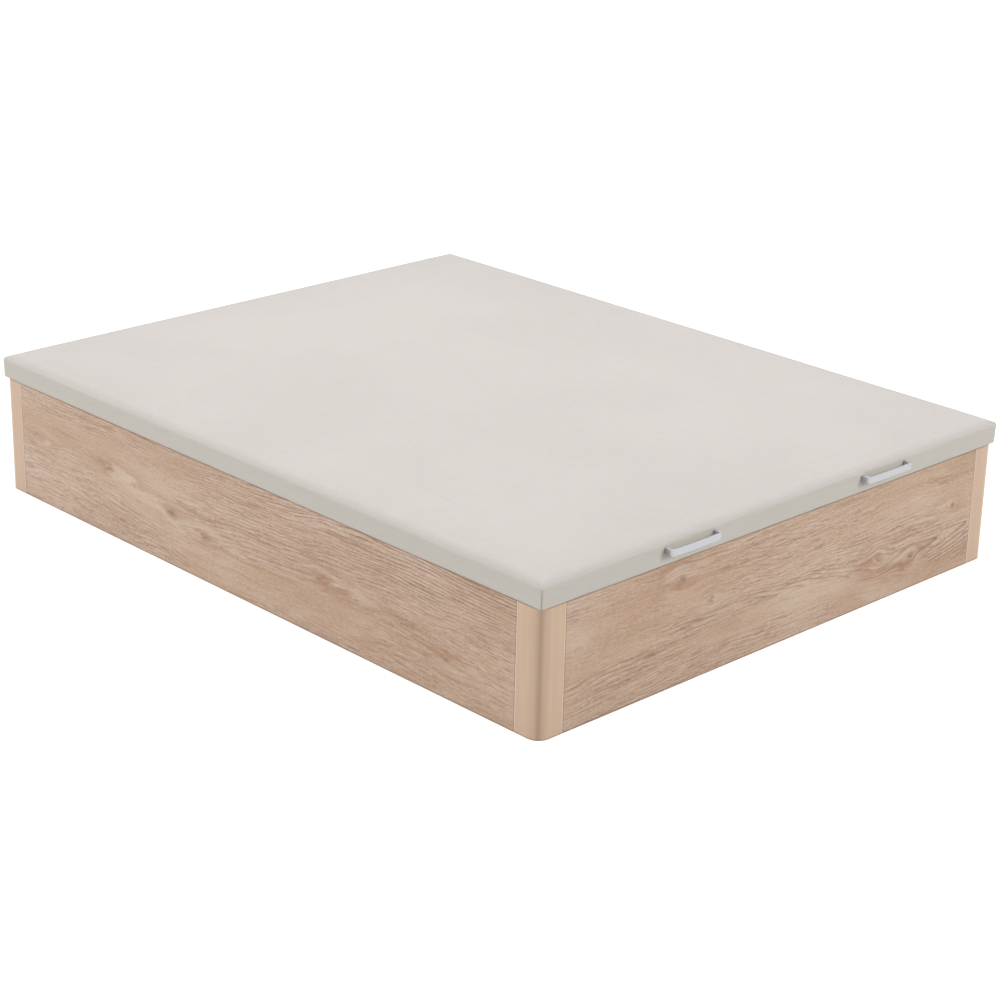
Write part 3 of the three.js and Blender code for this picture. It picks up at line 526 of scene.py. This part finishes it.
def woven_fabric():
    """Pale greige upholstery cloth: plain weave, slubs in both directions and faint clouding.

    It is palest on the top, has painted shade over the roll, and where it is upright takes the sides' tone
    with painted shade in it.
    """
    g = Graph("lid_fabric", Sheen_Weight=0.25, Sheen_Roughness=0.5, Specular_IOR_Level=0.25)
    x, y, z = g.parts(g.place())
    nx, ny, nz = g.parts(g.normal())
    flat = g.math("MULTIPLY", weave(g, x, y), g.math("MULTIPLY", nz, nz))
    foot = g.math("MULTIPLY", weave(g, x, z), g.math("MULTIPLY", ny, ny))
    side = g.math("MULTIPLY", weave(g, y, z), g.math("MULTIPLY", nx, nx))
    threads = g.math("ADD", flat, g.math("ADD", foot, side))
    slubs = g.math("ADD", g.stretched_noise(18.0, 620.0, 620.0), g.stretched_noise(620.0, 18.0, 620.0))
    slubs = g.math("MULTIPLY", slubs, 0.5)
    clouds = g.stretched_noise(2.4, 2.4, 2.4, detail=3.0)

    # The tilt is 0 where the cloth lies level and 1 where it is upright
    tilt = g.math("SQRT", g.math("MULTIPLY_ADD", g.math("MULTIPLY", nz, nz), -1.0, 1.0, clamp=True))
    roll_shade = g.math("MINIMUM", g.math("MULTIPLY", tilt, 2.2), 1.0)
    colour = g.mix(g.span(clouds, 0.35, 0.65), TOP_SHADED, TOP_BASE)
    # Painted shade: the cloth darkens as it tilts over the roll
    colour = g.mix(roll_shade, colour, CLOTH_ROLL_SHADE)
    # The sides' colour: partly the cloth's own tone, partly painted shade for how the side lamps light it
    colour = g.mix(g.math("POWER", tilt, 3.0), colour, CLOTH_SIDE_TONE_AND_SHADE)
    colour = g.tint(colour, g.span(slubs, 0.5, 0.68), 0.3, SLUB_DARK)
    colour = g.tint(colour, g.span(slubs, 0.48, 0.34), 0.25, SLUB_PALE)
    colour = g.tint(colour, g.span(threads, 0.4, 0.05), 0.22, THREAD_GAP)
    g.bump(g.math("MULTIPLY_ADD", slubs, 0.8, threads), 0.25 * MM, 0.5)
    return g.finish(colour, roughness=0.9)


def foam():
    """Pale foam with open cells."""
    g = Graph("foam", Roughness=0.95)
    cells = g.noise(g.place(), 700.0, 3.0, 0.7)
    g.bump(cells, 0.4 * MM)
    return g.finish(g.ramp(cells, [(0.35, FOAM_CELL), (0.6, FOAM_WALL)]))


def fibreboard():
    """Raw fibreboard with short fibres and faint patches."""
    g = Graph("fibreboard")
    fibres = g.noise(g.place(), 1300.0, 4.0, 0.65)
    patches = g.noise(g.place(), 14.0, 3.0)
    colour = g.ramp(fibres, [(0.32, FIBRE_DARK), (0.66, FIBRE_LIGHT)])
    g.bump(fibres, 0.08 * MM, 0.5)
    return g.finish(g.tint(colour, patches, 0.25, FIBRE_PATCH), roughness=0.82)


def pine(name, along_x):
    """Planed pine with its grain along X or Y."""
    g = Graph(name)
    x, y, z = g.parts(g.place())
    along, across = (x, y) if along_x else (y, x)
    bend = g.noise(g.vector(g.math("MULTIPLY", along, 2.0), across, z), 6.0)
    ringed = g.math("ADD", g.math("MULTIPLY", across, 260.0), g.math("MULTIPLY", z, 180.0))
    rings = g.math("FRACT", g.math("ADD", ringed, g.math("MULTIPLY", bend, 9.0)))
    fibres = g.noise(g.join("MULTIPLY", g.vector(along, across, z), (14.0, 700.0, 700.0)))
    colour = g.mix(g.span(rings, 0.55, 0.98), PINE_PALE, PINE_RING)
    g.bump(fibres, 0.1 * MM, 0.5)
    return g.finish(g.tint(colour, fibres, 0.3, PINE_FIBRE), roughness=0.7)


def powder_coat(name, colour, deep, roughness, metallic=0.0):
    """Powder-coated steel with its fine orange peel."""
    g = Graph(name, Metallic=metallic, Coat_Weight=0.15, Coat_Roughness=0.3)
    peel = g.noise(g.place(), 900.0)
    dust = g.noise(g.place(), 60.0, 3.0)
    g.bump(peel, 0.06 * MM, 0.4)
    shade = g.mix(g.span(dust, 0.35, 0.7), deep, colour)
    return g.finish(shade, g.math("MULTIPLY_ADD", dust, 0.12, roughness))


def zinc(name, light, dark, roughness, crystal):
    """Plated steel with a faint spangle and fine draw lines along the bed."""
    g = Graph(name, Metallic=1.0)
    spangle = g.noise(g.place(), crystal, 3.0, 0.6)
    g.bump(g.stretched_noise(900.0, 40.0, 2600.0), 0.02 * MM, 0.5)
    colour = g.mix(g.span(spangle, 0.35, 0.65), dark, light)
    return g.finish(colour, g.math("MULTIPLY_ADD", spangle, 0.07, roughness))


def satin_chrome():
    """Satin metal brushed along the handle."""
    g = Graph("satin_chrome", Metallic=0.8)
    brush = g.stretched_noise(60.0, 2600.0, 4200.0)
    g.bump(brush, 0.012 * MM, 0.5)
    return g.finish(g.mix(brush, CHROME_DARK, CHROME_LIGHT), g.math("MULTIPLY_ADD", brush, 0.14, 0.34))


def polished(name, colour, roughness):
    """Bright metal with a faint haze."""
    g = Graph(name, Metallic=1.0)
    haze = g.noise(g.place(), 300.0, 3.0)
    return g.finish(g.mix(haze, colour, POLISH_HAZE), g.math("MULTIPLY_ADD", haze, 0.08, roughness))


# Knots: place along the board, height, half length, half height
LEFT_KNOTS = [
    (0.80, 0.17, 0.034, 0.020),
    (0.52, 0.17, 0.050, 0.022),
    (0.42, 0.16, 0.030, 0.018),
    (0.28, 0.13, 0.036, 0.020),
    (0.16, 0.11, 0.040, 0.018),
    (-0.26, 0.14, 0.050, 0.020),
    (-0.38, 0.13, 0.040, 0.018),
    (-0.66, 0.09, 0.034, 0.018),
]
FOOT_KNOTS = [
    (-0.24, 0.17, 0.030, 0.024),
    (-0.34, 0.24, 0.040, 0.030),
    (0.33, 0.10, 0.045, 0.032),
    (0.45, 0.08, 0.036, 0.026),
    (0.60, 0.17, 0.030, 0.020),
]
HEAD_KNOTS = [(0.35, 0.19, 0.040, 0.022), (-0.10, 0.09, 0.034, 0.020), (-0.52, 0.20, 0.030, 0.018)]
RIGHT_KNOTS = [(-0.55, 0.18, 0.040, 0.022), (0.05, 0.10, 0.044, 0.020), (0.46, 0.20, 0.030, 0.018)]

finish = {
    "oak_left": oak("oak_left", False, heart=0.10, seed=1.0, knots=LEFT_KNOTS, lined_at=0.26),
    "oak_right": oak("oak_right", False, heart=0.17, seed=17.0, knots=RIGHT_KNOTS, lined_at=0.04),
    "oak_foot": oak("oak_foot", True, heart=0.12, seed=31.0, knots=FOOT_KNOTS, lined_at=0.04, calm_at=0.40),
    "oak_head": oak("oak_head", True, heart=0.15, seed=47.0, knots=HEAD_KNOTS, lined_at=0.24),
    "tan_post": tan_post(),
    "lid_fabric": woven_fabric(),
    "foam": foam(),
    "fibreboard": fibreboard(),
    "pine_x": pine("pine_x", True),
    "pine_y": pine("pine_y", False),
    "frame_steel": powder_coat("frame_steel", COAT_GREY, COAT_GREY_DEEP, roughness=0.42, metallic=0.2),
    "zinc_steel": zinc("zinc_steel", ZINC_LIGHT, ZINC_DARK, roughness=0.34, crystal=130.0),
    "pin_steel": zinc("pin_steel", PIN_LIGHT, PIN_DARK, roughness=0.22, crystal=260.0),
    "satin_chrome": satin_chrome(),
    "black_paint": powder_coat("black_paint", COAT_BLACK, COAT_BLACK_DEEP, roughness=0.3),
    "rod_chrome": polished("rod_chrome", ROD_LIGHT, roughness=0.05),
}

ALONG_X = {"ledger_foot", "ledger_head"}
OAK_OF_NODE = {
    "side_panel_left": "oak_left",
    "side_panel_right": "oak_right",
    "foot_panel": "oak_foot",
    "head_panel": "oak_head",
}


def smooth_by_angle(piece, degrees=35):
    """Smooth shading, with edges sharper than the angle kept."""
    mesh = piece.data
    mesh.shade_smooth()
    mesh.set_sharp_from_angle(angle=math.radians(degrees))


def dress(piece, material):
    """Gives the piece this one finish."""
    piece.data.materials.clear()
    piece.data.materials.append(finish[material])


def dress_nodes():
    """Gives every carried-over node the finish that its slot in the record names."""
    slots = {part["node"]: part["material_slot"] for part in frame["record"]["subparts"]}
    for name, piece in nodes.items():
        slot = slots[name]
        if slot == "oak_decor":
            dress(piece, OAK_OF_NODE[name])
        elif slot == "pine":
            dress(piece, "pine_x" if name in ALONG_X else "pine_y")
        else:
            dress(piece, slot)
        smooth_by_angle(piece)


def new_piece(name, points, faces, material, body, smooth=35):
    """A mesh piece in the row frame, dressed, named and riding on its body."""
    mesh = bpy.data.meshes.new(name)
    mesh.from_pydata(points, [], faces)
    mesh.validate()
    piece = bpy.data.objects.new(name, mesh)
    bpy.context.scene.collection.objects.link(piece)
    piece.data.materials.append(finish[material])
    smooth_by_angle(piece, smooth)
    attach(piece, body)
    return piece


cover_low, cover_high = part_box("lid_cover")
centre = (cover_low + cover_high) / 2
half_x = (cover_high.x - cover_low.x) / 2
half_y = (cover_high.y - cover_low.y) / 2
lid_bottom = cover_low.z
lid_top = cover_high.z
steps_x = round(2 * (half_x - GRID_INSET) / GRID_STEP)
steps_y = round(2 * (half_y - GRID_INSET) / GRID_STEP)


def loop_points(reach_x, reach_y, radius, count_x, count_y, corner_steps):
    """Points round a rectangle with rounded corners, from the -Y end of the +X side.

    Each comes with the way out of the rectangle, and with its share of the way round its corner, or None on a
    straight side.
    """
    cx, cy = reach_x - radius, reach_y - radius
    points = []
    quarter = math.pi / 2
    plan = [(cx, -cy, 3, count_y), (cx, cy, 0, count_x), (-cx, cy, 1, count_y), (-cx, -cy, 2, count_x)]
    for index, (px, py, turn, count) in enumerate(plan):
        middle = Vector((px, py, 0))
        for step in range(corner_steps + 1):
            angle = (turn + step / corner_steps) * quarter
            way = Vector((math.cos(angle), math.sin(angle), 0))
            points.append((middle + radius * way, way, step / corner_steps))
        next_x, next_y, _, _ = plan[(index + 1) % len(plan)]
        end_angle = (turn + 1) * quarter
        way = Vector((math.cos(end_angle), math.sin(end_angle), 0))
        start = middle + radius * way
        end = Vector((next_x, next_y, 0)) + radius * way
        for step in range(1, count):
            points.append((start.lerp(end, step / count), way, None))
    return points


def ring_faces(first, ring_count, count):
    """Quads between rings of this many points each, from the first point of the first ring."""
    faces = []
    for ring in range(ring_count - 1):
        for step in range(count):
            a = first + ring * count + step
            b = first + ring * count + (step + 1) % count
            faces.append((a, b, b + count, a + count))
    return faces


def roll_rings(top, steps):
    """Inset and height of the rings over a rolled top edge."""
    rings = []
    for step in range(steps + 1):
        turn = step / steps * math.pi / 2
        rings.append((ROLL_ACROSS * (1 - math.cos(turn)), top - ROLL_DOWN * (1 - math.sin(turn))))
    return rings


def grid_loop(count_x, count_y, corner_steps):
    """For each point of a loop, the grid point (column, row) that it meets."""
    at_corner = corner_steps + 1
    met = []
    met += [(count_x, 0)] * at_corner + [(count_x, j) for j in range(1, count_y)]
    met += [(count_x, count_y)] * at_corner + [(i, count_y) for i in range(count_x - 1, 0, -1)]
    met += [(0, count_y)] * at_corner + [(0, j) for j in range(count_y - 1, 0, -1)]
    met += [(0, 0)] * at_corner + [(i, 0) for i in range(1, count_x)]
    return met


def cover_profile():
    """Inset and height of each ring, from the hem's inner edge to the rim of the flat top."""
    rings = [(HEM * share, lid_bottom) for share in HEM_RINGS]
    for step in range(FOLD_STEPS + 1):
        turn = step / FOLD_STEPS * math.pi / 2
        rings.append((FOLD_RADIUS * (1 - math.sin(turn)), lid_bottom + FOLD_RADIUS * (1 - math.cos(turn))))
    side_low = lid_bottom + FOLD_RADIUS
    side_high = lid_top - ROLL_DOWN
    for step in range(1, SIDE_STEPS):
        share = step / SIDE_STEPS
        rings.append((-SIDE_SWELL * math.sin(math.pi * share), side_low + (side_high - side_low) * share))
    rings += roll_rings(lid_top, ROLL_STEPS)
    rings += [(inset * MM, lid_top) for inset in TOP_RINGS]
    return rings


def pillow(x, y):
    """How far the soft top lies lower near its edges."""
    a = max(0.0, 1 - (half_x - abs(x - centre.x)) / PILLOW_REACH)
    b = max(0.0, 1 - (half_y - abs(y - centre.y)) / PILLOW_REACH)
    a, b = min(a, 1.0) ** 2, min(b, 1.0) ** 2
    return PILLOW_DROP * (a + b - a * b)


def waves(at, per_metre, seed):
    """Smooth noise from -1 to 1 with this many features to a metre."""
    return noise.noise(Vector((at.x * per_metre, at.y * per_metre, at.z * per_metre + seed)))


def draw_in(height):
    """How far the side is pulled in at this share of the lid's height, by the hem under the frame."""
    share = max(0.0, min(1.0, (1 - height) / DRAW_SHARE))
    return DRAW_IN * share * share * (3 - 2 * share)


def soften(at, way, inset, corner_share):
    """Moves a point of the cover as stretched cloth lies: ripples, wavy lower edge, dents, corner creases."""
    height = (at.z - lid_bottom) / (lid_top - lid_bottom)
    on_side = max(0.0, 1 - max(inset, 0) / ROLL_ACROSS)
    moved = at.copy()
    moved.z -= pillow(at.x, at.y) * height
    moved -= way * draw_in(height)
    fine = max(0.0, 1 - height / FINE_BELOW)
    ripple = waves(at, 9, 2.0) + 0.5 * waves(at, 31, 5.0) * fine
    moved += way * (SIDE_RIPPLE * ripple * on_side * min(1.0, height / STILL_BELOW))
    if height < WAVY_BELOW and inset < 2 * FOLD_RADIUS:
        wave = max(0.0, waves(Vector((at.x, at.y, 0)), 11, 8.0))
        moved.z += EDGE_WAVE * wave * (1 - height / WAVY_BELOW)
    moved.z += TOP_DENT * (waves(at, 3.1, 11.0) + 0.4 * waves(at, 9, 4.0)) * (1 - on_side)
    if corner_share is not None and inset < ROLL_ACROSS:
        rise = max(0.0, min(1.0, (PLEAT_HEIGHT - (at.z - lid_bottom)) / PLEAT_FADE))
        off = (corner_share - 0.5) * CORNER_RADIUS * math.pi / 2
        dip = math.exp(-((off / PLEAT_WIDTH) ** 2))
        lift = math.exp(-(((off - PLEAT_BESIDE) / PLEAT_SPREAD) ** 2))
        moved += way * rise * (PLEAT_LIFT * lift - PLEAT_DEPTH * dip)
    return moved


def build_cover():
    """The fabric cover, as one sheet from hem to hem: rings round the lid, then a grid over its top."""
    points = []
    rings = cover_profile()
    for inset, z in rings:
        radius = max(CORNER_RADIUS - inset, LEAST_RADIUS)
        outline = loop_points(half_x - inset, half_y - inset, radius, steps_x, steps_y, CORNER_STEPS)
        for at, way, corner_share in outline:
            place = Vector((at.x + centre.x, at.y + centre.y, z))
            points.append(soften(place, way, inset, corner_share))
    count = len(points) // len(rings)
    faces = ring_faces(0, len(rings), count)
    first = len(points)
    reach_x, reach_y = half_x - GRID_INSET, half_y - GRID_INSET
    for row in range(steps_y + 1):
        for column in range(steps_x + 1):
            x = centre.x - reach_x + 2 * reach_x * column / steps_x
            y = centre.y - reach_y + 2 * reach_y * row / steps_y
            points.append(soften(Vector((x, y, lid_top)), Vector(), GRID_INSET, None))
    met = grid_loop(steps_x, steps_y, CORNER_STEPS)
    at_grid = [first + row * (steps_x + 1) + column for column, row in met]
    last = (len(rings) - 1) * count
    for i in range(count):
        after = (i + 1) % count
        corners = [last + i, last + after, at_grid[after], at_grid[i]]
        faces.append(tuple(dict.fromkeys(corners)))
    for row in range(steps_y):
        for column in range(steps_x):
            a = first + row * (steps_x + 1) + column
            faces.append((a, a + 1, a + steps_x + 2, a + steps_x + 1))
    cover = new_piece("fabric_cover", points, faces, "lid_fabric", "lid", smooth=70)
    solidify = cover.modifiers.new("cloth", "SOLIDIFY")
    solidify.thickness = CLOTH
    solidify.offset = -1
    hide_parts("lid_cover")
    return cover


def build_padding():
    """The foam slab: over the board, and down the sides of the frame."""
    low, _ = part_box("lid_padding")
    _, board_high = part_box("lid_board")
    top = lid_top - FOAM_GAP
    outer_x, outer_y = half_x - FOAM_GAP, half_y - FOAM_GAP
    inner = outer_x - (board_high.x + BOARD_GAP)
    rings = [(inner, board_high.z + BOARD_GAP), (inner, low.z), (inner * 0.5, low.z)]
    rings.append((0.0, low.z + FOAM_BEVEL))
    for share in FOAM_SIDE_RINGS:
        rings.append((-FOAM_SWELL * SIDE_SWELL, low.z + share * (top - ROLL_DOWN - low.z)))
    rings += roll_rings(top, FOAM_ROLL_STEPS)
    points = []
    for inset, z in rings:
        radius = max(CORNER_RADIUS - inset - FOAM_GAP, LEAST_RADIUS)
        drawn = draw_in((z - lid_bottom) / (lid_top - lid_bottom)) if inset < inner else 0.0
        outline = loop_points(
            outer_x - inset, outer_y - inset, radius, FOAM_STEPS_X, FOAM_STEPS_Y, FOAM_CORNER_STEPS,
        )
        for at, way, _ in outline:
            x, y, _ = at + centre - way * drawn
            points.append((x, y, z - pillow(x, y) * (z > board_high.z)))
    count = len(points) // len(rings)
    faces = ring_faces(0, len(rings), count)
    faces.append(tuple(reversed(range(count))))
    faces.append(tuple((len(rings) - 1) * count + i for i in range(count)))
    padding = new_piece("foam_padding", points, faces, "foam", "lid")
    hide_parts("lid_padding")
    return padding


def hexagon_reach(step):
    """Reach of a hexagon's edge in the direction of this step, as a share of its corners' reach."""
    turn = (step / SCREW_STEPS * 2 * math.pi) % (math.pi / 3) - math.pi / 6
    return math.cos(math.pi / 6) / math.cos(turn)


def screw_mesh(places):
    """Round-headed screws with a hexagon socket. Each place is a point on the face and the way out of it."""
    # Rings of the head and of its socket: reach and rise, as shares of the screw's radius and height
    head = [(1.0, -0.1), (1.0, 0.3), (0.9, 0.68), (0.72, 0.93), (0.56, 1.0)]
    socket = [(0.5, 0.97), (0.5, 0.45)]
    rings = head + socket
    points = []
    faces = []
    for at, out in places:
        out = Vector(out)
        across = out.orthogonal().normalized()
        beside = out.cross(across)
        first = len(points)
        for index, (reach, rise) in enumerate(rings):
            for step in range(SCREW_STEPS):
                turn = step / SCREW_STEPS * 2 * math.pi
                wide = SCREW_RADIUS * reach * (hexagon_reach(step) if index >= len(head) else 1.0)
                way = across * math.cos(turn) + beside * math.sin(turn)
                points.append(Vector(at) + way * wide + out * SCREW_HEIGHT * rise)
        last = first + (len(rings) - 1) * SCREW_STEPS
        faces.append(tuple(first + step for step in reversed(range(SCREW_STEPS))))
        faces.append(tuple(last + step for step in range(SCREW_STEPS)))
        faces += ring_faces(first, len(rings), SCREW_STEPS)
    return points, faces


def bracket_screws():
    """Four screws through each leg of the corner brackets."""
    places = []
    for end in ("foot", "head"):
        for hand in ("left", "right"):
            low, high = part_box("corner_bracket_" + end + "_" + hand)
            to_x = 1 if hand == "left" else -1
            to_y = 1 if end == "foot" else -1
            wall_x = low.x if hand == "left" else high.x
            wall_y = low.y if end == "foot" else high.y
            for z in (low.z + BRACKET_SCREW_EDGE, high.z - BRACKET_SCREW_EDGE):
                for far in (BRACKET_SCREW_NEAR, BRACKET_SCREW_FAR):
                    places.append(((wall_x + to_x * BRACKET_SHEET, wall_y + to_y * far, z), (to_x, 0, 0)))
                    places.append(((wall_x + to_x * far, wall_y + to_y * BRACKET_SHEET, z), (0, to_y, 0)))
    return places


def side_screws(node, spots):
    """Screws on the inner face of a plate of the linkage, at these places along the bed and heights."""
    places = []
    for hand, out in (("left", 1), ("right", -1)):
        low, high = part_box(node + "_" + hand)
        face = high.x if hand == "left" else low.x
        places += [((face, y * MM, z * MM), (out, 0, 0)) for y, z in spots]
    return places


def spread(low, high, count):
    """Evenly spread places between two ends, with half a gap at each."""
    return [low + (high - low) * (step + 0.5) / count for step in range(count)]


def ledger_screws():
    """Screws through the ledgers into the panels, seen from below."""
    places = []
    for hand, out in (("left", 1), ("right", -1)):
        low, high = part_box("ledger_" + hand)
        face = high.x if hand == "left" else low.x
        for y in spread(low.y, high.y, SIDE_LEDGER_SCREWS):
            places.append(((face, y, (low.z + high.z) / 2), (out, 0, 0)))
    for end, out in (("foot", 1), ("head", -1)):
        low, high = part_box("ledger_" + end)
        face = high.y if end == "foot" else low.y
        for x in spread(low.x, high.x, END_LEDGER_SCREWS):
            places.append(((x, face, (low.z + high.z) / 2), (0, out, 0)))
    return places


def handle_screws():
    """The heads of the handles' bolts, on the inner face of the foot rail."""
    _, rail_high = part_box("foot_rail")
    places = []
    for hand in ("left", "right"):
        low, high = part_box("handle_" + hand)
        for x in (low.x + HANDLE_BOLT_INSET, high.x - HANDLE_BOLT_INSET):
            places.append(((x, rail_high.y, (low.z + high.z) / 2), (0, 1, 0)))
    return places


def build_screws():
    """The screw heads of the box and of the lid, one piece for each."""
    on_box = bracket_screws() + side_screws("base_plate", BASE_PLATE_SCREWS) + ledger_screws()
    on_lid = side_screws("lid_plate", LID_PLATE_SCREWS) + handle_screws()
    for name, body, places in (("box_screws", "base", on_box), ("lid_screws", "lid", on_lid)):
        points, faces = screw_mesh(places)
        new_piece(name, points, faces, "zinc_steel", body)


def build_staples():
    """The staples that hold the turned-in hem to the frame, half sunk in the cloth."""
    points, faces = [], []
    count_x = round(2 * half_x / STAPLE_PITCH)
    count_y = round(2 * half_y / STAPLE_PITCH)
    outline = loop_points(half_x - STAPLE_INSET, half_y - STAPLE_INSET, MM, count_x, count_y, 1)
    for at, way, corner_share in outline:
        if corner_share is not None:
            continue
        along = Vector((-way.y, way.x, 0))
        middle = Vector((at.x + centre.x, at.y + centre.y, lid_bottom + STAPLE_SINK))
        first = len(points)
        for end in (-1, 1):
            for step in range(STAPLE_SIDES):
                turn = step / STAPLE_SIDES * 2 * math.pi
                round_off = way * math.cos(turn) + Vector((0, 0, 1)) * math.sin(turn)
                points.append(middle + along * end * STAPLE_WIDTH / 2 + round_off * STAPLE_WIRE / 2)
        far = first + STAPLE_SIDES
        faces.append(tuple(first + step for step in range(STAPLE_SIDES)))
        faces.append(tuple(far + step for step in reversed(range(STAPLE_SIDES))))
        for step in range(STAPLE_SIDES):
            after = (step + 1) % STAPLE_SIDES
            faces.append((first + step, far + step, far + after, first + after))
    new_piece("hem_staples", points, faces, "zinc_steel", "lid")


def seen_rays(g):
    """1 for the rays of camera, gloss and glass, which see a white surround."""
    path = g.add("ShaderNodeLightPath")
    seen = g.math("MAXIMUM", path.outputs["Is Camera Ray"], path.outputs["Is Glossy Ray"])
    return g.math("MAXIMUM", seen, path.outputs["Is Transmission Ray"])


def add_world():
    """Soft even light from all round, seen as plain white."""
    world = bpy.data.worlds.new("studio")
    bpy.context.scene.world = world
    world.use_nodes = True
    g = Graph(None, tree=world.node_tree)
    background = g.add("ShaderNodeBackground")
    g.put(background.inputs["Color"], WHITE)
    g.put(background.inputs["Strength"], g.math("MULTIPLY_ADD", seen_rays(g), 1 - FILL, FILL))
    output = g.add("ShaderNodeOutputWorld")
    g.put(output.inputs["Surface"], background.outputs[0])


def add_lamp(name, turn, lift, far, size, power):
    """A round soft lamp that looks at the bed, at this angle from +X, height angle and distance."""
    data = bpy.data.lights.new(name, "AREA")
    data.shape = "DISK"
    data.size = size
    data.energy = power
    piece = bpy.data.objects.new(name, data)
    bpy.context.scene.collection.objects.link(piece)
    turn, lift = math.radians(turn), math.radians(lift)
    back = Vector((math.cos(turn) * math.cos(lift), math.sin(turn) * math.cos(lift), math.sin(lift)))
    piece.location = Vector((0, 0, LAMP_AIM)) + far * back
    piece.rotation_euler = (-back).to_track_quat("-Z", "Y").to_euler()


def add_lights():
    """Soft lamps above, to the left of the camera's line and to its right."""
    add_lamp("lamp_above", turn=60, lift=78, far=3.6, size=3.0, power=LAMP_ABOVE)
    add_lamp("lamp_left", turn=160, lift=24, far=12.0, size=5.6, power=LAMP_BESIDE)
    add_lamp("lamp_right", turn=293, lift=24, far=12.0, size=5.6, power=LAMP_BESIDE)


def add_floor():
    """A pale floor that stays white in the picture and keeps the object's shadow."""
    mesh = bpy.data.meshes.new("floor")
    corners = [(FLOOR_REACH * x, FLOOR_REACH * y, 0) for x, y in ((-1, -1), (1, -1), (1, 1), (-1, 1))]
    mesh.from_pydata(corners, [], [(0, 1, 2, 3)])
    floor = bpy.data.objects.new("floor", mesh)
    bpy.context.scene.collection.objects.link(floor)
    floor.location.z = -FLOOR_GAP
    g = Graph("floor", Base_Color=FLOOR_COLOUR, Roughness=0.9, Specular_IOR_Level=0.0, Emission_Color=WHITE)
    g.put(g.shader.inputs["Emission Strength"], g.math("MULTIPLY", seen_rays(g), FLOOR_GLOW))
    mesh.materials.append(g.material)


def add_camera():
    """A camera at the photo's viewing angle."""
    data = bpy.data.cameras.new("camera")
    data.sensor_width = SENSOR
    data.lens = CAMERA_FOCAL * SENSOR / PICTURE
    data.clip_start = 0.05
    data.clip_end = 100
    camera = bpy.data.objects.new("camera", data)
    bpy.context.scene.collection.objects.link(camera)
    bpy.context.scene.camera = camera
    ahead = Vector((
        math.sin(CAMERA_YAW) * math.cos(CAMERA_PITCH),
        math.cos(CAMERA_YAW) * math.cos(CAMERA_PITCH),
        -math.sin(CAMERA_PITCH),
    ))
    level = Vector((math.cos(CAMERA_YAW), -math.sin(CAMERA_YAW), 0))
    rise = level.cross(ahead)
    across = level * math.cos(CAMERA_ROLL) + rise * math.sin(CAMERA_ROLL)
    upwards = rise * math.cos(CAMERA_ROLL) - level * math.sin(CAMERA_ROLL)
    turn = Matrix((across, upwards, -ahead)).transposed().to_4x4()
    camera.matrix_world = Matrix.Translation(CAMERA_AT) @ turn


add_camera()
dress_nodes()
cover = build_cover()
padding = build_padding()
build_screws()
build_staples()
add_world()
add_lights()
add_floor()
bpy.context.scene.view_settings.view_transform = "Standard"
